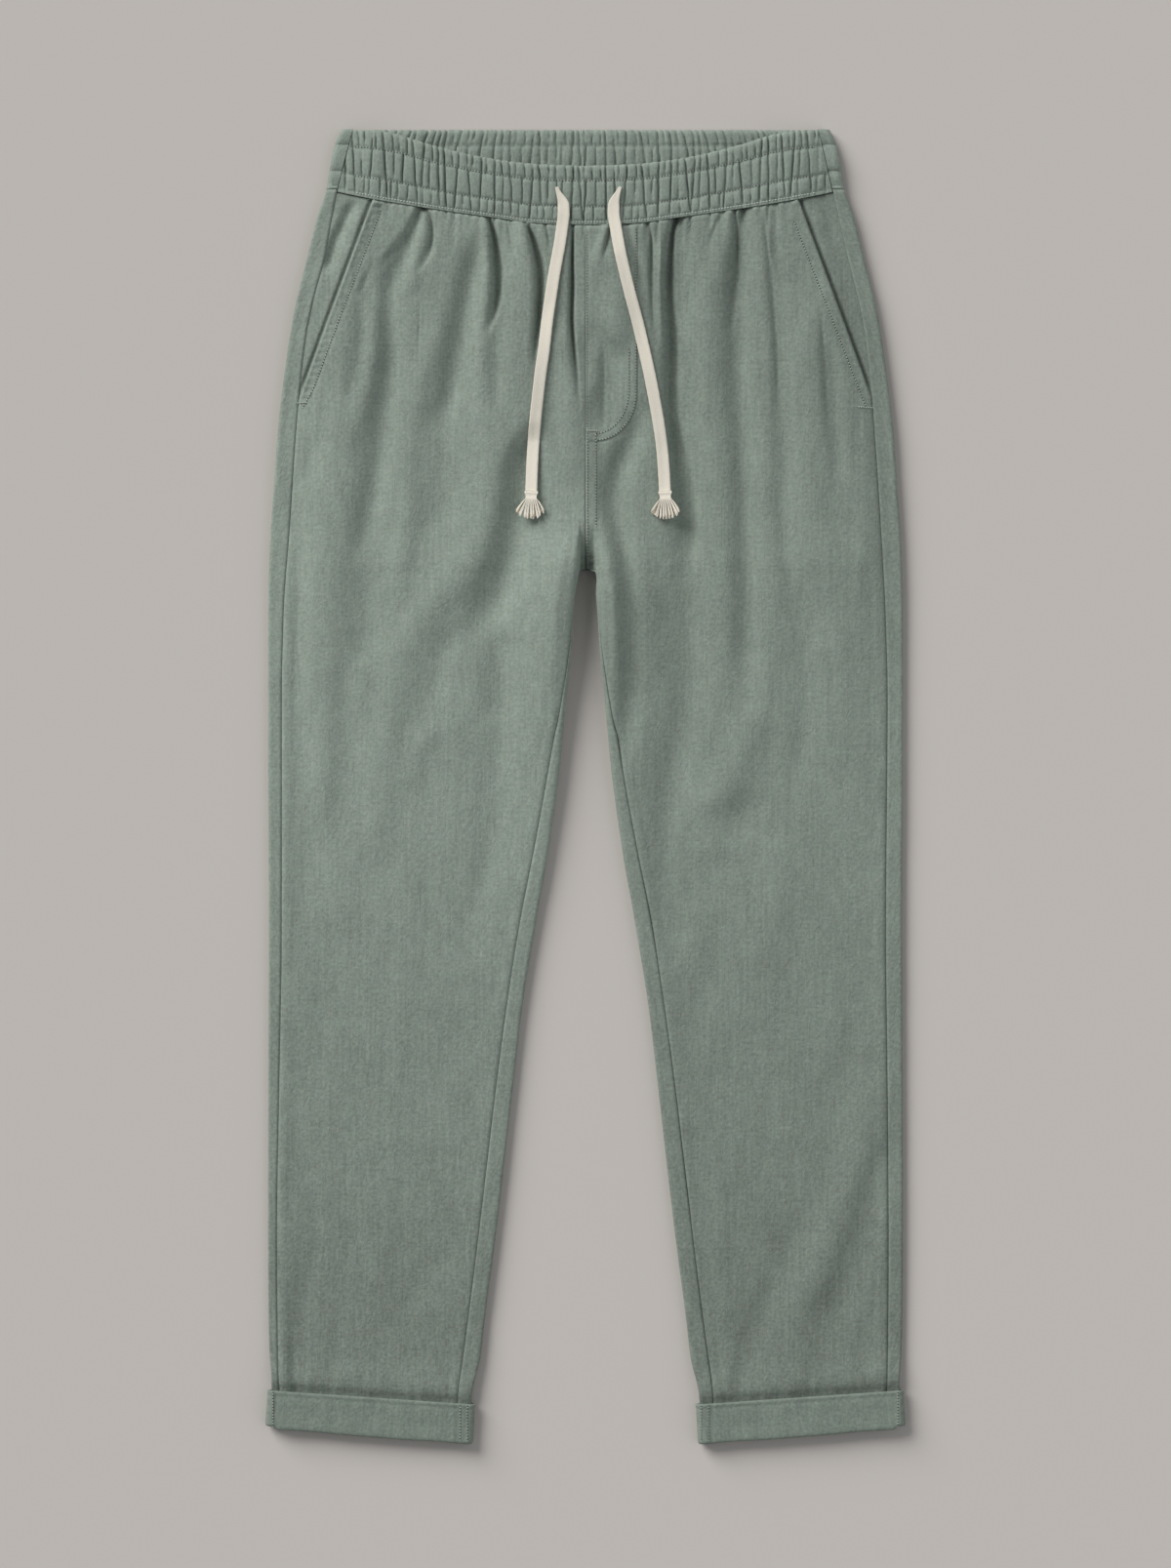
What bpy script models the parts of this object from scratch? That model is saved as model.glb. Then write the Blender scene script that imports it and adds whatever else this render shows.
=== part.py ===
"""Cotton trousers laid flat on their back, waist towards +Y, front upwards.

Metres. X is across (the wearer's left is +X), Y runs from hem to waist, and Z = 0 is the
surface that the trousers lie on. Tables are in millimetres: "down" is measured from the top
edge of the waist towards the hem, and "across" from the centre line.
"""

import math
from collections import namedtuple

import bmesh
import bpy
from mathutils import Vector
from mathutils.bvhtree import BVHTree

MM = 0.001

# ---------------------------------------------------------------- driving sizes, millimetres
LENGTH = 1009.0         # waist to hem
CLOTH = 1.4             # wall of the leg and hip panels
BAND_CLOTH = 3.2        # elastic with a layer of cloth on each side
CUFF_CLOTH = 2.2        # the turned-up hem is two layers
GAP = 0.3               # between pieces that are sewn together
ROOF_SHOULDER = 34.0    # how far in from an edge roll the upper layer reaches its full height
BAND_HEIGHT = 46.0      # waistband at the side
CUFF_LIFT = 2.6         # the leg lies on the cuff's lower layers
TAPE_THICK = 1.5        # drawstring

SIDES = {"right": -1, "left": 1}

SAGE = (0.205, 0.262, 0.218)
SAGE_DARK = (0.180, 0.232, 0.192)
IVORY = (0.74, 0.68, 0.57)

# One row for each station down the garment, half of it:
#   outer, inner    outline of hip or leg
#   seam            centre seam, then inseam, as seen from above
#   edge, fork      height of the rolled outer and inner edge
#   middle          height of the upper layer between them
#   turn            degrees by which the front turns down over the inner edge to the seam
#   back_turn       degrees by which the back turns up to it
#   lift            height of the underside
Section = namedtuple("Section", "down outer inner seam edge fork middle turn back_turn lift")
SECTIONS = (
    Section(0, 187.5, 0, 0, 12.0, 15.0, 15.0, 0, 0, 0),
    Section(12, 192.8, 0, 0, 12.0, 15.0, 15.0, 0, 0, 0),
    Section(30, 196.5, 0, 0, 12.0, 15.0, 15.0, 0, 0, 0),
    Section(47, 199.2, 0, 0, 11.6, 15.0, 15.0, 0, 0, 0),
    Section(65, 205.5, 0, 0, 11.0, 15.4, 15.4, 0, 0, 0),
    Section(95, 213.0, 0, 0, 10.8, 15.8, 15.8, 0, 0, 0),
    Section(140, 224.0, 0, 0, 10.6, 16.0, 16.0, 0, 0, 0),
    Section(185, 231.0, 0, 0, 10.5, 15.8, 15.8, 0, 0, 0),
    Section(230, 236.3, 0, 0, 10.4, 15.4, 15.4, 0, 0, 0),
    Section(275, 239.5, 0, 0, 10.2, 14.8, 14.8, 0, 0, 0),
    Section(309, 242.0, 0, 0, 10.0, 14.2, 14.2, 0, 0, 0),
    Section(322, 242.6, 0, 0, 10.0, 13.8, 13.8, 30, 20, 0),
    Section(332, 243.0, 0, 0, 9.9, 13.4, 13.5, 62, 52, 0),
    Section(339, 243.2, 0, 0, 9.8, 13.2, 13.3, 86, 80, 0),
    Section(344, 243.4, 4.6, 4.6, 9.7, 13.0, 13.1, 90, 90, 0),
    Section(352, 243.6, 6.6, 6.8, 9.6, 12.7, 12.7, 82, 98, 0),
    Section(372, 243.8, 8.6, 10.1, 9.4, 12.0, 11.9, 50, 130, 0),
    Section(402, 243.8, 10.5, 13.9, 9.2, 11.0, 10.8, 22, 158, 0),
    Section(435, 243.8, 14.0, 19.0, 9.0, 10.0, 9.9, 0, 180, 0),
    Section(492, 243.8, 19.5, 28.5, 8.8, 9.2, 8.7, 0, 180, 0),
    Section(552, 243.4, 27.8, 39.4, 8.6, 8.8, 7.9, 0, 180, 0),
    Section(612, 243.2, 38.3, 51.0, 8.4, 8.4, 7.3, 0, 180, 0),
    Section(672, 243.4, 48.0, 60.4, 8.2, 8.2, 6.9, 0, 180, 0),
    Section(732, 243.6, 55.1, 68.3, 8.0, 8.0, 6.7, 0, 180, 0),
    Section(792, 243.8, 61.9, 75.4, 8.0, 8.0, 6.6, 0, 180, 0),
    Section(852, 243.8, 69.0, 82.5, 8.0, 8.0, 6.6, 0, 180, 0),
    Section(912, 243.4, 76.9, 90.0, 7.8, 7.8, 6.6, 0, 180, 0),
    Section(942, 242.8, 80.5, 94.0, 7.4, 7.4, 6.5, 0, 180, 0.6),
    Section(968, 241.2, 86.6, 97.5, 6.9, 6.9, 6.3, 0, 180, CUFF_LIFT),
    Section(1004, 240.8, 89.4, 99.5, 6.9, 6.9, 6.3, 0, 180, CUFF_LIFT),
)

# Side seam on the upper layer, across, for each side; the pocket's cut edge ends on it
SideSeam = namedtuple("SideSeam", "down right left")
SIDE_SEAMS = (
    SideSeam(0, 178.5, 178.5),
    SideSeam(47, 190.5, 189.5),
    SideSeam(102, 201.0, 202.0),
    SideSeam(132, 209.0, 209.5),
    SideSeam(162, 215.0, 215.0),
    SideSeam(206, 219.8, 219.4),
    SideSeam(252, 223.5, 222.8),
    SideSeam(309, 227.3, 226.5),
    SideSeam(372, 231.8, 229.9),
    SideSeam(435, 233.2, 231.6),
    SideSeam(612, 233.4, 230.4),
    SideSeam(732, 235.2, 231.6),
    SideSeam(852, 237.0, 232.5),
    SideSeam(942, 236.2, 231.9),
    SideSeam(1004, 234.0, 230.2),
)

# The front's cut edge at the slant pocket, from the waistband to the side seam
PocketEdge = namedtuple("PocketEdge", "down across")
POCKET_EDGE = (PocketEdge(52, 162.0), PocketEdge(208, 220.0))

# Edges of the front waistband: the top edge dips at the centre, and so does the seam below it
BandEdge = namedtuple("BandEdge", "across top seam")
BAND_EDGES = (
    BandEdge(0, 28.9, 73.9),
    BandEdge(20, 28.4, 73.6),
    BandEdge(43, 27.2, 72.3),
    BandEdge(68, 24.1, 68.8),
    BandEdge(94, 19.1, 65.2),
    BandEdge(119, 12.7, 61.6),
    BandEdge(144, 4.9, 57.6),
    BandEdge(163.5, 1.6, 54.2),
    BandEdge(200, 0.0, 46.0),
)

# The hem line and the cuff's upper edge slant down towards the inner leg
HemPoint = namedtuple("HemPoint", "across cuff_top hem")
HEM = (HemPoint(86.0, 978.2, LENGTH), HemPoint(246.0, 967.2, 997.1))

# The largest folds: soft troughs along a line of three points (across is signed)
Fold = namedtuple("Fold", "across0 down0 across1 down1 across2 down2 width depth")
FOLDS = {
    "right": (
        Fold(-156, 135, -158, 200, -178, 290, 13, 2.5),
        Fold(-180, 300, -188, 350, -191, 425, 12, 1.9),
        Fold(-118, 74, -119, 92, -124, 118, 8, 3.2),
        Fold(-92, 105, -104, 160, -120, 225, 14, 2.2),
        Fold(-71, 74, -67, 114, -73, 165, 8, 3.1),
        Fold(-41, 76, -36, 120, -40, 190, 8, 3.5),
        Fold(-50, 262, -67, 322, -110, 388, 14, 4.3),
        Fold(-12, 80, -12, 140, -8, 190, 8, 2.6),
        Fold(-139, 600, -143, 710, -149, 850, 17, 1.2),
        Fold(-216, 560, -220, 690, -214, 840, 10, 1.3),
        Fold(-194, 840, -196, 890, -193, 920, 12, 1.0),
    ),
    "left": (
        Fold(47, 76, 53, 115, 56, 150, 8, 2.9),
        Fold(66, 76, 69, 177, 71, 285, 8, 3.6),
        Fold(114, 65, 106, 165, 118, 325, 12, 2.3),
        Fold(143, 140, 142, 180, 141, 225, 10, 1.9),
        Fold(180, 160, 181, 190, 182, 225, 9, 1.6),
        Fold(15, 292, 27, 342, 31, 440, 9, 3.2),
        Fold(60, 300, 77, 350, 60, 470, 13, 4.3),
        Fold(56, 470, 58, 560, 68, 640, 12, 2.1),
        Fold(112, 507, 134, 502, 158, 496, 12, 1.0),
        Fold(169, 565, 160, 590, 148, 618, 12, 1.0),
        Fold(204, 660, 195, 700, 184, 740, 13, 1.3),
        Fold(217, 790, 195, 858, 163, 925, 15, 2.9),
        Fold(110, 905, 116, 940, 121, 965, 11, 1.7),
    ),
}

# Rows of the panels: how far down each passes at the centre line
FRONT_ROWS = (
    74.3, 81, 91, 106, 125, 147, 172, 206, 235, 262, 287, 309, 322, 332, 339, 344, 352, 372,
    402, 435, 492, 552, 612, 672, 732, 792, 852, 912, 942, 968, 1003,
)
BACK_ROWS = (46.5, 74, 110, 147) + FRONT_ROWS[FRONT_ROWS.index(172):]
FACING_ROWS = (47.0, 74, 110, 147, 172, 190, 206, 221)
ROWS_FLATTEN = (74.0, 150.0)    # the curve of the waist seam fades out over these rows
ROWS_SLANT = (880.0, 1003.0)    # and the slant of the hem comes in over these
HEM_MARGIN = 4.5                # the leg's wall ends this far inside the cuff's fold

GATHERS_FRONT = 54              # puffs along the front waistband
GATHERS_BACK = 48               # and along the back
PANEL_GATHER = 1.3              # height of the gathers at the top of each front
PANEL_GATHER_FADE = 46.0        # how far below the band they run out
GATHER_FREE = {"right": (8.0, 16.0), "left": (40.0, 50.0)}  # flat beside the seam and fly

# Profile of the band from its top edge (0) to the seam (1): stitched rows and puffed channels
Channel = namedtuple("Channel", "share rise gather")
CHANNELS = (
    Channel(0.00, -0.9, 0.45),
    Channel(0.10, 0.5, 0.90),
    Channel(0.27, -0.8, 0.35),
    Channel(0.40, 0.8, 0.95),
    Channel(0.60, 0.8, 0.95),
    Channel(0.72, -0.8, 0.35),
    Channel(0.87, 0.5, 0.85),
    Channel(1.00, -0.6, 0.35),
)


# ---------------------------------------------------------------- small helpers
def between(value, low, high):
    """0 at low, 1 at high, with a soft start and end."""
    t = min(max((value - low) / (high - low), 0.0), 1.0)
    return t * t * (3 - 2 * t)


def read(table, key, column, at):
    """A column of a table, read smoothly between its rows (never past their values)."""
    rows = [(getattr(row, key), getattr(row, column)) for row in table]
    if at <= rows[0][0]:
        return rows[0][1]
    if at >= rows[-1][0]:
        return rows[-1][1]
    i = next(n for n in range(len(rows) - 1) if at <= rows[n + 1][0])
    slopes = [(b[1] - a[1]) / (b[0] - a[0]) for a, b in zip(rows, rows[1:])]

    def tangent(n):
        if n == 0 or n == len(slopes):
            return slopes[min(n, len(slopes) - 1)]
        before, after = slopes[n - 1], slopes[n]
        return 0.0 if before * after <= 0 else 2 * before * after / (before + after)

    (x0, y0), (x1, y1) = rows[i], rows[i + 1]
    step = x1 - x0
    t = (at - x0) / step
    return (
        (1 + 2 * t) * (1 - t) ** 2 * y0
        + t * (1 - t) ** 2 * step * tangent(i)
        + t * t * (3 - 2 * t) * y1
        + t * t * (t - 1) * step * tangent(i + 1)
    )


def section(down):
    return Section(down, *(read(SECTIONS, "down", name, down) for name in Section._fields[1:]))


def side_seam(side, down):
    return read(SIDE_SEAMS, "down", side, down)


def band_edge(across, which):
    return read(BAND_EDGES, "across", which, abs(across))


def hem_edge(across, which):
    inner, outer = HEM
    t = (abs(across) - inner.across) / (outer.across - inner.across)
    return getattr(inner, which) * (1 - t) + getattr(outer, which) * t


def row_down(row, across, curved_top):
    """How far down a panel's row passes at a place across it."""
    waist = (band_edge(across, "seam") - band_edge(0, "seam")) * curved_top
    waist *= 1 - between(row, *ROWS_FLATTEN)
    slant = hem_edge(across, "hem") - HEM_MARGIN - ROWS_SLANT[1]
    return row + waist + slant * between(row, *ROWS_SLANT)


def place(across, down, height):
    return Vector((across * MM, (LENGTH / 2 - down) * MM, height * MM))


# ---------------------------------------------------------------- form of the cloth
def fold_depth(side, across, down):
    """Depth of the folds at a place; each is deepest along its line and runs out at its ends."""
    depth = 0.0
    for fold in FOLDS[side]:
        line = (
            (fold.across0, fold.down0), (fold.across1, fold.down1), (fold.across2, fold.down2)
        )
        best = None
        for n, (a, b) in enumerate(zip(line, line[1:])):
            run = (b[0] - a[0], b[1] - a[1])
            t = ((across - a[0]) * run[0] + (down - a[1]) * run[1]) / (run[0] ** 2 + run[1] ** 2)
            held = min(max(t, 0.0), 1.0)
            away = math.hypot(across - a[0] - run[0] * held, down - a[1] - run[1] * held)
            if best is None or away < best[0]:
                best = (away, (n + held) / 2)
        away, along = best
        fade = between(along, -0.12, 0.35) * between(along, 1.12, 0.6)
        depth += fold.depth * fade * math.exp(-((away / fold.width) ** 2))
    return depth


def roof(side, across, row, down):
    """Height of the upper layer's outer face at a place across one half of a row."""
    form = section(row)
    sign = SIDES[side]
    from_outer = form.outer - across - form.edge / 2
    height = form.middle + (form.edge - form.middle) * (1 - between(from_outer, 0, ROOF_SHOULDER))
    calm = between(from_outer, 4, 22)
    if form.inner > 0:
        from_inner = across - form.inner - form.fork / 2
        height += (form.fork - form.middle) * (1 - between(from_inner, 0, ROOF_SHOULDER))
        calm *= between(from_inner, 2, 16)
    return form.lift + height - calm * fold_depth(side, sign * across, down)


def inner_walk(form, turn, reach):
    """Point at a distance from the seam edge: over the rolled inner edge, then straight on."""
    radius = form.fork / 2
    angle = math.radians(turn)
    if form.inner > 0:
        tangent = form.inner + radius
    else:
        tangent = GAP / 2 + radius * math.sin(angle)
    left = angle - reach / radius
    if left > 0:
        return tangent - radius * math.sin(left), radius * (1 - math.cos(left))
    return tangent + reach - radius * angle, 0.0


# ---------------------------------------------------------------- making meshes
def cloth_material(name, colour, roughness):
    material = bpy.data.materials.new(name)
    material.use_nodes = True
    shader = material.node_tree.nodes["Principled BSDF"]
    shader.inputs["Base Color"].default_value = (*colour, 1)
    shader.inputs["Roughness"].default_value = roughness
    shader.inputs["Metallic"].default_value = 0
    return material


def grid_faces(mesh, rows, flip):
    """Quads between rows of vertices."""
    for above, below in zip(rows, rows[1:]):
        for a, b, c, d in zip(above, above[1:], below[1:], below):
            mesh.faces.new((a, b, c, d) if flip else (d, c, b, a))


def add_object(name, mesh, material):
    bmesh.ops.triangulate(mesh, faces=mesh.faces[:], quad_method="SHORT_EDGE")
    data = bpy.data.meshes.new(name)
    mesh.to_mesh(data)
    mesh.free()
    data.materials.append(material)
    data.shade_smooth()
    data.set_sharp_from_angle(angle=math.radians(50))
    piece = bpy.data.objects.new(name, data)
    bpy.context.scene.collection.objects.link(piece)
    return piece


def sheet(name, points, flip, thickness, material):
    """A cloth panel: a grid of points on its outer face, thickened inwards to a closed wall."""
    mesh = bmesh.new()
    rows = [[mesh.verts.new(point) for point in row] for row in points]
    grid_faces(mesh, rows, flip)
    piece = add_object(name, mesh, material)
    wall = piece.modifiers.new("wall", "SOLIDIFY")
    wall.thickness = thickness * MM
    wall.offset = -1
    wall.use_even_offset = True
    wall.use_quality_normals = True
    return piece


def ring_solid(name, rings, material):
    """A solid skinned over closed rings of equal count, with its two ends filled."""
    mesh = bmesh.new()
    loops = [[mesh.verts.new(point) for point in ring] for ring in rings]
    for above, below in zip(loops, loops[1:]):
        for n in range(len(above)):
            m = (n + 1) % len(above)
            mesh.faces.new((above[n], above[m], below[m], below[n]))
    mesh.faces.new(loops[0])
    mesh.faces.new(loops[-1])
    bmesh.ops.recalc_face_normals(mesh, faces=mesh.faces[:])
    return add_object(name, mesh, material)


# ---------------------------------------------------------------- panels
INNER_STEPS = (0, 2.6, 5.4, 8.6, 13)    # columns of a front beside its inner edge
FRONT_COLUMNS = 21                      # and over the rest of it


def seam_start(form):
    """How far from the inseam a panel begins: more where the seam runs over the rolled edge."""
    if form.inner == 0:
        return 0.0
    return GAP if form.turn > 0 else GAP / 2


def front_limit(side, row, down):
    """Outer edge of a front: the pocket's cut edge, then the side seam."""
    edge = side_seam(side, row)
    start, end = POCKET_EDGE
    if down < end.down:
        share = (down - start.down) / (end.down - start.down)
        edge = min(edge, start.across + share * (end.across - start.across))
    return edge - GAP / 2


def panel_gather(across, down):
    """Puffs below the waistband, uneven and running out down the panel."""
    below = down - band_edge(across, "seam")
    wave = math.sin(across * 0.42) + 0.6 * math.sin(across * 0.71 + 1.3)
    return PANEL_GATHER * wave * max(0.0, 1 - below / PANEL_GATHER_FADE) ** 1.5


def front_points(side):
    sign = SIDES[side]
    points = []
    for row in FRONT_ROWS:
        form = section(row)
        start = seam_start(form)
        first = form.seam + start if form.turn == 0 and form.inner > 0 else None
        line = []
        for step in INNER_STEPS:
            if first is None:
                across, drop = inner_walk(form, form.turn, start + step)
            else:
                across, drop = first + step, 0.0
            line.append((across, drop))
        begin = line[-1][0]
        limit = front_limit(side, row, row)
        for _ in range(3):
            limit = front_limit(side, row, row_down(row, limit, True))
        for n in range(1, FRONT_COLUMNS + 1):
            line.append((begin + (limit - begin) * n / FRONT_COLUMNS, 0.0))
        out = []
        for across, drop in line:
            down = row_down(row, across, True)
            height = roof(side, across, row, down) - drop
            if row < PANEL_GATHER_FADE + ROWS_FLATTEN[0]:
                calm = between(across, *GATHER_FREE[side]) * between(limit - across, 0, 14)
                height += panel_gather(across, down) * calm
            out.append(place(sign * across, down, height))
        points.append(out)
    return points


INNER_PART = 7      # columns from the inseam round the inner edge to the underside
INNER_LEAST = 9.0   # and the least that they reach over
FLAT_PART = 2       # columns of the underside
OUTER_PART = 6      # columns round the outer edge
TOP_PART = 1        # columns from there to the side seam


def back_points(side):
    sign = SIDES[side]
    points = []
    for row in BACK_ROWS:
        form = section(row)
        start = seam_start(form)
        radius = form.fork / 2
        strip = 0.0
        if form.turn == 0 and form.inner > 0:
            strip = form.seam - GAP / 2 - form.inner - radius
        arc = radius * math.radians(form.back_turn)
        length = max(strip + arc, INNER_LEAST)
        line = []
        for n in range(INNER_PART + 1):
            reach = length * n / INNER_PART
            if reach < strip:
                line.append((form.seam - GAP / 2 - reach, 2 * radius))
            else:
                first = start if strip == 0 else 0.0
                across, height = inner_walk(form, form.back_turn, reach - strip + first)
                line.append((across, height))
        edge = form.edge / 2
        centre = form.outer - edge
        begin = line[-1][0]
        for n in range(1, FLAT_PART + 1):
            line.append((begin + (centre - begin) * n / FLAT_PART, 0.0))
        for n in range(1, OUTER_PART + 1):
            angle = math.pi * n / OUTER_PART
            line.append((centre + edge * math.sin(angle), edge * (1 - math.cos(angle))))
        seam = side_seam(side, row) + GAP / 2
        for n in range(1, TOP_PART + 1):
            across = centre + (seam - centre) * n / TOP_PART
            line.append((across, roof(side, across, row, row) - form.lift))
        out = []
        for across, height in line:
            out.append(place(sign * across, row_down(row, across, False), height + form.lift))
        points.append(out)
    return points


FACING_UNDER = 11.0     # how far the facing runs on under the front
FACING_TUCK = 1.2       # and under the back's edge
FACING_COLUMNS = 5
FACING_GAP = 0.5        # below the front
FACING_TOP_GAP = 0.7    # below the waistband's seam


def facing_points(side):
    sign = SIDES[side]
    points = []
    for row in FACING_ROWS:
        outer = side_seam(side, row) + FACING_TUCK
        inner = front_limit(side, row, row) - FACING_UNDER
        line = []
        for n in range(FACING_COLUMNS + 1):
            across = inner + (outer - inner) * n / FACING_COLUMNS
            down = row
            if row == FACING_ROWS[0]:
                down = band_edge(across, "seam") + FACING_TOP_GAP
            height = roof(side, across, row, down) - CLOTH - FACING_GAP
            line.append(place(sign * across, down, height))
        points.append(line)
    return points


# ---------------------------------------------------------------- mock fly
FLY_WIDTH = 40.0        # from the centre seam to the stitched line
FLY_TIP = 9.0           # width left where the line ends
FLY_CURVE = 203.0       # where the line starts to curve in
FLY_END = 240.0         # and where it reaches the centre
FLY_START = 1.2         # clear of the centre seam
FLY_CLOTH = 0.9
FLY_COLUMNS = 6
FLY_ROWS = (75.4, 84, 95, 110, 128, 150, 175, 203, 212.6, 221.5, 229.2, 235, 238.7, 240)
FLY_PATCH = 3.5         # half the patch that each of its points stands clear of


def surface_of(pieces):
    """The outer shape of finished pieces, to lay others on."""
    graph = bpy.context.evaluated_depsgraph_get()
    corners, faces = [], []
    for piece in pieces:
        data = piece.evaluated_get(graph).to_mesh()
        first = len(corners)
        corners += [piece.matrix_world @ vertex.co for vertex in data.vertices]
        faces += [[first + n for n in face.vertices] for face in data.polygons]
    return BVHTree.FromPolygons(corners, faces)


def top_of(surface, across, down, around):
    """Highest point of a surface within a small patch, in millimetres."""
    best = 0.0
    for dx in (-around, 0, around):
        for dy in (-around, 0, around):
            hit = surface.ray_cast(place(across + dx, down + dy, 60), Vector((0, 0, -1)))[0]
            if hit is not None:
                best = max(best, hit.z / MM)
    return best


def fly_points(surface):
    points = []
    for row in FLY_ROWS:
        t = max(0.0, (row - FLY_CURVE) / (FLY_END - FLY_CURVE))
        width = FLY_TIP + (FLY_WIDTH - FLY_TIP) * math.sqrt(1 - t * t)
        line = []
        for n in range(FLY_COLUMNS + 1):
            across = FLY_START + (width - FLY_START) * n / FLY_COLUMNS
            down = row_down(row, across, True)
            height = top_of(surface, across, down, FLY_PATCH) + GAP + FLY_CLOTH
            line.append(place(across, down, height))
        points.append(line)
    return points


# ---------------------------------------------------------------- waistband
CREASE = -1.15      # height of a crease
PUFF = 0.6          # and of the cloth between two
GATHER_STRAY = 0.9  # share of a step by which the creases stray along the band


def gather_wave(n, per_wave, channel):
    """Height of one point along the band: narrow creases between broad, uneven puffs."""
    puff = n // per_wave
    uneven = 0.95 + 0.25 * math.sin(puff * 2.3) + 0.3 * math.sin(puff * 1.7 + channel * 2.1)
    return (CREASE if n % per_wave == 0 else PUFF) * uneven


def gather_place(n, count):
    """Where one point stands along the band, from -1 to 1, with unevenly spaced creases."""
    stray = GATHER_STRAY / count * math.sin(n * 0.83) * math.sin(math.pi * n / count)
    return 2 * n / count - 1 + stray


def band_object(name, columns, material):
    """Skins the band over its columns; each is the closed outline of one cut across it."""
    mesh = bmesh.new()
    loops = [[mesh.verts.new(point) for point in column] for column in columns]
    for left, right in zip(loops, loops[1:]):
        for n in range(len(left)):
            m = (n + 1) % len(left)
            mesh.faces.new((left[n], left[m], right[m], right[n]))
    mesh.faces.new(loops[0])
    mesh.faces.new(loops[-1])
    bmesh.ops.recalc_face_normals(mesh, faces=mesh.faces[:])
    return add_object(name, mesh, material)


def front_band_columns():
    count = GATHERS_FRONT * 3
    columns = []
    for n in range(count + 1):
        share = gather_place(n, count)
        calm = between(1 - abs(share), 0.0, 0.03)
        column = []
        for index, channel in enumerate(CHANNELS):
            end = side_seam("right" if share < 0 else "left", BAND_HEIGHT * channel.share)
            across = share * (end - GAP / 2)
            top, seam = band_edge(across, "top"), band_edge(across, "seam")
            down = top + (seam - top) * channel.share
            base = roof_of_band(abs(across), channel.share)
            wave = gather_wave(n, 3, index) * channel.gather * calm
            column.append(place(across, down, base + channel.rise + wave))
        for channel in (CHANNELS[-1], CHANNELS[0]):
            end = side_seam("right" if share < 0 else "left", BAND_HEIGHT * channel.share)
            across = share * (end - GAP / 2)
            top, seam = band_edge(across, "top"), band_edge(across, "seam")
            down = top + (seam - top) * channel.share
            base = roof_of_band(abs(across), channel.share)
            column.append(place(across, down, base - BAND_CLOTH))
        columns.append(column)
    return columns


def roof_of_band(across, share):
    form = section(BAND_HEIGHT * share)
    from_outer = form.outer - across - form.edge / 2
    return form.middle + (form.edge - form.middle) * (1 - between(from_outer, 0, ROOF_SHOULDER))


BAND_ROLL = 6       # columns round each end of the back band
BACK_INSIDE = (0, 1, 2, 3, 5, 7)     # the channels that the back band's inner face keeps


def back_band_columns():
    """From the seam on top, round one end, along the underside and up round the other end."""
    count = GATHERS_BACK * 2
    path = []       # (side, kind, position)
    for n in range(BAND_ROLL + 1):
        path.append((-1, "roll", 1 - n / BAND_ROLL))
    for n in range(1, count):
        path.append((gather_place(n, count), "flat", n))
    for n in range(BAND_ROLL + 1):
        path.append((1, "roll", n / BAND_ROLL))
    columns = []
    for share, kind, mark in path:
        column = []
        for index in range(len(CHANNELS)):
            column.append(back_band_point(share, kind, mark, index, True))
        for index in reversed(BACK_INSIDE):
            column.append(back_band_point(share, kind, mark, index, False))
        columns.append(column)
    return columns


def back_band_point(share, kind, mark, index, outside):
    channel = CHANNELS[index]
    down = BAND_HEIGHT * channel.share
    form = section(down)
    radius = form.edge / 2
    centre = form.outer - radius
    sign = -1 if share < 0 else 1
    if kind == "flat":
        across = share * centre
        calm = between(1 - abs(share), 0, 0.04)
        wave = gather_wave(mark, 2, index) * channel.gather * calm
        height = 0.0 if outside else BAND_CLOTH + 0.5 * channel.rise + wave
        return place(across, down, height)
    seam = side_seam("right" if sign < 0 else "left", down) + GAP / 2
    arc = math.pi * radius
    strip = max(centre - seam, 0.0)
    reach = mark * (arc + strip)
    lift = channel.rise * between(mark, 0.2, 0.6)
    off = lift if outside else -BAND_CLOTH
    if reach < arc:
        angle = reach / radius
        out = radius + off
        return place(sign * (centre + out * math.sin(angle)), down, radius - out * math.cos(angle))
    return place(sign * (centre - (reach - arc)), down, 2 * radius + off)


# ---------------------------------------------------------------- cuffs
CUFF_INNER_SIDE = (84.2, 86.3)      # across, at the upper edge and at the hem
CUFF_OUTER_SIDE = (244.3, 246.0)
CUFF_EDGE = 12.2        # height of the cuff's rolled sides
CUFF_MIDDLE = 11.4      # and of its upper layer between them
CUFF_BOTTOM = 4         # columns along the underside
CUFF_ROLL = 6           # and round each side
CUFF_TOP = 6

# Rows along the leg, from the cuff's upper edge to the hem's fold:
#   share of the height, how far in from the outer face, for the outer and then the inner skin
CuffRow = namedtuple("CuffRow", "share inset")
CUFF_OUTER = (CuffRow(0.0, 0.7), CuffRow(0.03, 0.0), CuffRow(0.5, 0.15), CuffRow(0.93, 0.0),
              CuffRow(0.985, 0.8))
CUFF_INNER = (CuffRow(1.0, 2.4), CuffRow(0.985, 3.9), CuffRow(0.90, 3.9), CuffRow(0.88, CUFF_CLOTH),
              CuffRow(0.0, CUFF_CLOTH))


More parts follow.
